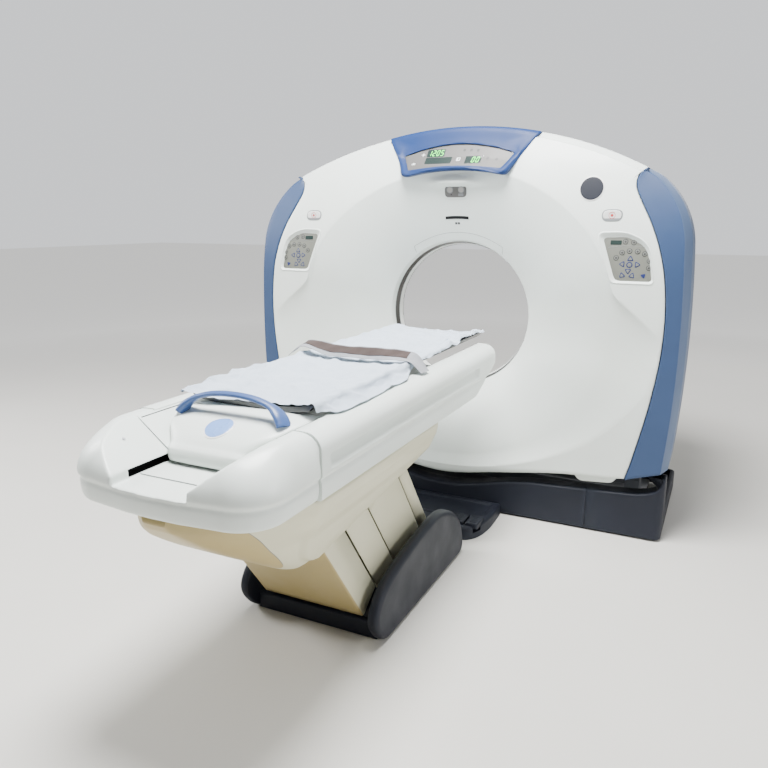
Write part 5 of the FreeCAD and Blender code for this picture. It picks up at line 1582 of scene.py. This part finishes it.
# The sliding cradle with its foot cover, handle, sheet and strap.
carriage = {
    "y": [-1.79, -1.83, -1.87, -1.91, -1.95, -1.985, -2.012, -2.03, -2.04, -2.048, -2.053, -2.054, -2.051],
    "middle": [0.9065, 0.9065, 0.9045, 0.8985, 0.888, 0.874, 0.859, 0.8445, 0.8375, 0.83, 0.818, 0.805, 0.7945],
    "half": [0.231, 0.229, 0.22, 0.206, 0.188, 0.168, 0.15, 0.138, 0.135, 0.1335, 0.1315, 0.13, 0.129],
    "crown": 0.016,
}


def carriageCover():
    # a pillowed cover: across it the height falls off as a steep power, along it the nose turns down
    path = smoothPath(np.column_stack([carriage["y"], carriage["middle"], carriage["half"]]), 5)
    y, middle, half = path.T
    u = np.linspace(-1, 1, 49)[None, :]
    widest = 0.122 + (np.clip(middle, 0.811, 1) - carriage["crown"] * 0.6 - 0.811) * 1.2955
    half = np.minimum(half, np.maximum(widest, 0.128))
    fall = carriage["crown"] * smoothStep(middle, 0.8, 0.86)
    x = half[:, None] * np.sin(u * math.pi / 2)
    z = middle[:, None] - fall[:, None] * np.abs(u)**3.2
    back = y[:, None] + 0.03 * np.abs(u)**4 * smoothStep(-y, 1.95, 2.04)[:, None]
    points = np.stack([x, back, z], -1)
    piece = gridPiece("carriageCover", points, "coverWhite", "cradle", facing=(0, -0.3, 1), wall=0.004,
                      sharp=34)
    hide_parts("carriage_cover")
    angle = np.linspace(0, math.tau, 48, endpoint=False)
    disc = np.array([0, -1.964])

    def lift(x, y):
        return (np.interp(-y, -np.array(carriage["y"]), carriage["middle"])
                - carriage["crown"] * np.abs(x / 0.19)**3.2)

    for name, finish, rows in (
            ("discRing", "stopWhite", ((0.0455, -0.003), (0.0455, 0.0014), (0.044, 0.0024), (0.0415, 0.0024),
                                       (0.04, 0.0016))),
            ("discFace", "discBlue", ((0.0405, 0.0008), (0.0402, 0.0022), (0.038, 0.003), (0.025, 0.0034),
                                      (0.012, 0.0036)))):
        rings = []
        for radius, proud in rows:
            x, y = disc[0] + radius * np.cos(angle), disc[1] + radius * np.sin(angle)
            rings.append(np.column_stack([x, y, lift(x, y) + proud]))
        solidOf(name, rings, finish, "cradle")


carriageCover()


def pathFrame(path, side):
    # unit ways square to a path: one as near to side as can be, and one square to both
    along = np.gradient(path, axis=0)
    along /= np.linalg.norm(along, axis=1)[:, None]
    side = side - along * np.sum(side * along, axis=1)[:, None]
    side /= np.linalg.norm(side, axis=1)[:, None]
    return side, np.cross(side, along)


def grabHandle():
    # a flattened bow that swells into a flared foot at each end
    half = [(-0.182, -1.912, 0.893), (-0.176, -1.908, 0.903), (-0.16, -1.902, 0.922), (-0.13, -1.897, 0.941),
            (-0.085, -1.894, 0.954), (-0.04, -1.893, 0.9595), (0.0, -1.893, 0.961)]
    path = smoothPath(np.vstack([half, np.array(half)[-2::-1] * [-1, 1, 1]]), 7)
    reach = np.abs(path[:, 0])
    radius = 0.0115 + 0.0105 * smoothStep(reach, 0.12, 0.176)
    side, up = pathFrame(path, np.tile([0, 1.0, 0], (len(path), 1)))
    angle = np.linspace(0, math.tau, 28, endpoint=False)
    squash = 0.72 - 0.1 * smoothStep(reach, 0.12, 0.17)
    ring = (np.cos(angle)[None, :, None] * side[:, None] * 1.3
            + (squash[:, None] * np.sin(angle)[None, :])[:, :, None] * up[:, None])
    loops = path[:, None] + radius[:, None, None] * ring
    piece = solidOf("grabHandle", loops, "handleBlue", "cradle", 50)
    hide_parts("grab_handle")
    # the dimple is a flat near-black disc: painted shade standing for its hollow
    dot = topPlate("handleDimple", circleLoop(0.16, -1.902, 0.0055, 24), 0.9325, 0.012, 0.001,
                   "darkGap", "cradle", 2)


grabHandle()
print("carriage cover and handle made")

sheet = {
    "foot": -1.84, "end": -0.285, "across": 62, "along": 162, "frames": 34,
    "cloth": {"quality": 8, "mass": 0.12, "tension_stiffness": 25, "compression_stiffness": 22,
              "shear_stiffness": 14, "bending_stiffness": 0.6, "air_damping": 2.5},
}


def bedHeight(x, y):
    # the cradle's dished top inside its raised edges, and the table's shoulders outside them
    reach = np.abs(x)
    dish = np.interp(reach, [0, 0.1, 0.18, 0.225], [0.9212, 0.9212, 0.9282, 0.9384])
    shoulder = 0.9062 - 0.03 * smoothStep(reach, 0.285, 0.345)
    return np.where(reach < 0.226, dish, np.where(reach < 0.23, 0.9384 - (reach - 0.226) * 7.8, shoulder))


def ripples(x, y):
    # soft overlapping waves, stronger along the near edge towards the bore
    near = smoothStep(x, 0.02, 0.22) * smoothStep(y, -1.25, -1.0)
    wave = 0.008 * np.sin(23 * y + 9 * x + 2.2 * np.sin(7 * x + 3 * y))
    wave += 0.0062 * np.sin(31 * x - 17 * y + 1.7 * np.sin(9 * y)) + 0.004 * np.sin(47 * x + 38 * y)
    wave += (0.0024 * np.sin(83 * x - 61 * y + 3 * np.sin(11 * x))
             + 0.0125 * near * np.sin(68 * x + 4.0 * np.sin(3.3 * y) + 5 * y))
    return wave + 0.006 * smoothStep(y, -0.55, -0.32) * np.sin(26 * x + 14 * y)


def creases(x, y):
    # narrow ridges left by folding, in patches, always lifted off the bed
    bent = x + 0.1 * np.sin(5 * y) + 0.03 * np.sin(19 * y + 4 * x)
    lengthways = (1 - np.abs(np.sin(21 * bent + 5 * y)))**3
    crossways = (1 - np.abs(np.sin(27 * y + 11 * x + 1.6 * np.sin(8 * x))))**4
    patch = 0.5 + 0.5 * np.sin(4.6 * y + 3 * x + 1)
    return 0.007 * lengthways * patch + 0.0055 * crossways * (1.1 - patch)


def sheetStart():
    # the sheet as it is laid down: slightly buckled, skewed towards the near side at the foot end
    u, v = np.meshgrid(np.linspace(-1, 1, sheet["across"]), np.linspace(0, 1, sheet["along"]))
    y = sheet["foot"] + v * (sheet["end"] - sheet["foot"]) + 0.018 * np.sin(2.6 * u + 0.6) * (1 - v)
    right = np.interp(y, [-1.84, -1.76, -1.3, -1.08, -0.4], [0.25, 0.3, 0.296, 0.238, 0.23])
    left = np.interp(y, [-1.84, -1.2, -0.4], [-0.246, -0.258, -0.25])
    x = left + (right - left) * (u + 1) / 2
    lift = 0.012 * np.exp(-((x + 0.255) / 0.03)**2)
    curl = 0.03 * np.exp(-((x - 0.2) / 0.045)**2) * smoothStep(-y, 1.79, 1.84)
    return np.stack([x, y, np.maximum(bedHeight(x, y), 0.932) + 0.012 + ripples(x, y) + lift + curl], -1)


def makeSheet():
    # falls onto the cradle and the table's shoulders, settles for a moment and is then fixed as it lies
    start = sheetStart()
    piece = gridPiece("patientSheet", start, "sheetCloth", "cradle", facing=(0, 0, 1), sharp=180)
    bedX = np.unique(np.concatenate([np.linspace(-0.36, 0.36, 61), [-0.23, -0.226, 0.226, 0.23]]))
    gridX, gridY = np.meshgrid(bedX, np.linspace(-1.98, -0.16, 40))
    bedPoints = np.stack([gridX, gridY, bedHeight(gridX, gridY)], -1)
    bed = newPiece("bedForm", bedPoints.reshape(-1, 3), gridFaces(*bedPoints.shape[:2]), "darkGap",
                   "cradle", facing=(0, 0, 1))
    bed.modifiers.new("collision", "COLLISION")
    bed.collision.thickness_outer = 0.0025
    bed.collision.cloth_friction = 40
    bed.collision.damping = 0.8
    cloth = piece.modifiers.new("cloth", "CLOTH")
    for setting, amount in sheet["cloth"].items():
        setattr(cloth.settings, setting, amount)
    cloth.collision_settings.distance_min = 0.0022
    cloth.collision_settings.collision_quality = 3
    cloth.point_cache.frame_start, cloth.point_cache.frame_end = 1, sheet["frames"]
    scene = bpy.context.scene
    for frameNumber in range(1, sheet["frames"] + 1):
        scene.frame_set(frameNumber)
    settled = piece.evaluated_get(bpy.context.evaluated_depsgraph_get())
    places = np.empty(3 * len(piece.data.vertices), np.float32)
    settled.data.vertices.foreach_get("co", places)
    piece.modifiers.remove(cloth)
    places[2::3] += creases(places[0::3], places[1::3])
    piece.data.vertices.foreach_set("co", places)
    scene.frame_set(1)
    bpy.data.objects.remove(bed)
    finer = piece.modifiers.new("finer", "SUBSURF")
    finer.levels = finer.render_levels = 1
    settle(piece, 180)
    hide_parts("sheet")


strap = {
    "x": [-0.286, -0.262, -0.238, -0.215, -0.19, -0.16, -0.13, -0.1, -0.06, 0.0, 0.08, 0.15, 0.2, 0.228,
          0.25, 0.268, 0.282, 0.29],
    "z": [0.93, 0.948, 0.962, 0.971, 0.969, 0.96, 0.951, 0.9455, 0.9445, 0.9445, 0.9455, 0.948, 0.951, 0.951,
          0.944, 0.93, 0.918, 0.9125],
    "wide": 0.06, "thick": 0.0022,
}


def bandAlong(name, path, lean, width, thick, material, shift=(0.0, 0.0), across=7):
    # a woven band: a closed flat ring of points carried along its path, its far edge leaning up
    side, up = pathFrame(path, np.column_stack([0 * lean, np.cos(lean), np.sin(lean)]))
    up *= np.sign(up[:, 2])[:, None]
    share = np.linspace(-0.5, 0.5, across)
    level = 15.5 * (path[:, :1] + 0.29)
    place = (share * width + shift[0]) / 0.06
    wave = 0.0016 * np.sin(2.3 * level + 4 * place) + 0.001 * np.sin(5.1 * level - 7 * place) + shift[1]
    middle = path[:, None] + side[:, None] * (share * width + shift[0])[None, :, None]
    top = middle + up[:, None] * (wave + thick / 2)[..., None]
    low = middle + up[:, None] * (wave - thick / 2)[..., None]
    return solidOf(name, np.concatenate([top, low[:, ::-1]], 1), material, "cradle", 50)


def makeStrap():
    x, z = np.array(strap["x"]), np.array(strap["z"])
    path = smoothPath(np.column_stack([x, -1.155 - 0.05 * x + 0.012 * np.sin(7 * x), z]), 5)
    lean = np.radians(np.interp(path[:, 0], [-0.29, -0.22, -0.12, 0.15, 0.23, 0.29], [8, 16, 36, 36, 22, 3]))
    path[:, 2] += 0.03 * np.sin(lean)
    web = bandAlong("patientStrap", path, lean, strap["wide"], strap["thick"], "strapWeb")
    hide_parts("strap")
    inner = np.abs(path[:, 0]) < 0.222
    hook = bandAlong("strapHook", path[inner], lean[inner], 0.037, 0.0014, "strapLining", (0.006, 0.0024))


makeSheet()
makeStrap()
print("sheet and strap laid")

# stage, lights and camera

def makeFloor():
    mesh = bpy.data.meshes.new("studioFloor")
    mesh.from_pydata([(-30, -30, -0.0005), (30, -30, -0.0005), (30, 30, -0.0005), (-30, 30, -0.0005)], [],
                     [(0, 1, 2, 3)])
    material, tree, shader, place = startMaterial("studioFloor", 0.75, specular=0.2)
    tone = remap(tree, noise(tree, place, 1.5, 3.0), 0.3, 0.7, 0, 1)
    tree.links.new(blendColours(tree, tone, (0.62, 0.605, 0.565), (0.6, 0.585, 0.545)),
                   shader.inputs["Base Color"])
    # painted light: the floor glows near white, not at all within 1.5 m of its middle and rising to a strength
    # of 0.72 at 7 m, so it fades into a pale backdrop
    away = addNode(tree, "ShaderNodeVectorMath", {0: place}, operation="LENGTH").outputs["Value"]
    shader.inputs["Emission Color"].default_value = (0.95, 0.95, 0.94, 1)
    tree.links.new(remap(tree, away, 1.5, 7.0, 0, 0.72), shader.inputs["Emission Strength"])
    mesh.materials.append(material)
    floor = bpy.data.objects.new("studioFloor", mesh)
    bpy.context.collection.objects.link(floor)


lamps = {  # place, aim, size and power of each soft lamp
    "keyLamp": ((-4.2, -1.9, 2.9), (0.3, -0.8, 0.9), 1.6, 200),
    "fillLamp": ((5.0, -1.5, 2.0), (0.2, -0.7, 0.7), 2.0, 130),
    "topLamp": ((0.1, -1.4, 4.4), (0, -1.1, 0), 1.8, 560),
    "rearLamp": ((1.5, 4.5, 3.2), (0, 0.2, 1.0), 3.0, 60),
}


def makeLights():
    world = bpy.data.worlds.new("studio")
    world.use_nodes = True
    tree = world.node_tree
    backdrop = tree.nodes["Background"]
    backdrop.inputs["Color"].default_value = (0.95, 0.97, 1.0, 1)
    seen = addNode(tree, "ShaderNodeLightPath").outputs["Is Camera Ray"]
    tree.links.new(remap(tree, seen, 0, 1, 0.26, 1.05), backdrop.inputs["Strength"])
    bpy.context.scene.world = world
    for name, (place, aim, size, power) in lamps.items():
        light = bpy.data.lights.new(name, "AREA")
        light.shape = "DISK"
        light.size = size
        light.energy = power
        lamp = bpy.data.objects.new(name, light)
        bpy.context.collection.objects.link(lamp)
        heading = np.array(aim, float) - np.array(place, float)
        flat = math.hypot(heading[0], heading[1])
        lamp.location = place
        lamp.rotation_euler = (math.atan2(flat, -heading[2]), 0, math.atan2(-heading[0], heading[1]))


view = {"place": (1.249, -3.482, 1.454), "heading": 26.09, "down": 13.168, "roll": -0.13,
        "lens": 33.28, "shiftX": 0.0033, "shiftY": 0.0006}


def makeCamera():
    data = bpy.data.cameras.new("studioCamera")
    data.sensor_width = 36
    data.lens = view["lens"]
    data.shift_x = view["shiftX"]
    data.shift_y = view["shiftY"]
    camera = bpy.data.objects.new("studioCamera", data)
    bpy.context.collection.objects.link(camera)
    camera.location = view["place"]
    camera.rotation_euler = (math.radians(90 - view["down"]), math.radians(view["roll"]),
                             math.radians(view["heading"]))
    bpy.context.scene.camera = camera


makeFloor()
makeLights()
makeCamera()

# finishes on the construction's own parts

frameFinishes = {
    "frame_steel": "framePaint", "bearing_steel": "bearingSteel", "cast_ring": "castAlloy",
    "slip_brass": "slipBrass", "tube_grey": "tubePaint", "belt_black": "rubberBlack",
    "cover_white": "coverWhite", "slate_plastic": "slate", "belly_tan": "bellyTan",
    "keypad_grey": "keypadGrey", "dark_plastic": "darkGap", "liner_grey": "coverWhite",
    "cradle_black": "cradleCarbon", "handle_blue": "handleBlue", "sheet_cloth": "sheetCloth",
    "strap_web": "strapWeb", "film_clear": "mylar", "wing_grey": "wingBlue",
    "pod_blue": "podBlue", "display_grey": "windowGrey", "stop_red": "stopWhite",
}
slotOf = {part["node"]: part["material_slot"] for part in frame["record"]["subparts"]}
for nodeName, nodeObject in frame["nodes"].items():
    finish = finishes[frameFinishes[slotOf[nodeName]]]
    nodeObject.data.materials.clear()
    nodeObject.data.materials.append(finish)
print("construction parts finished")
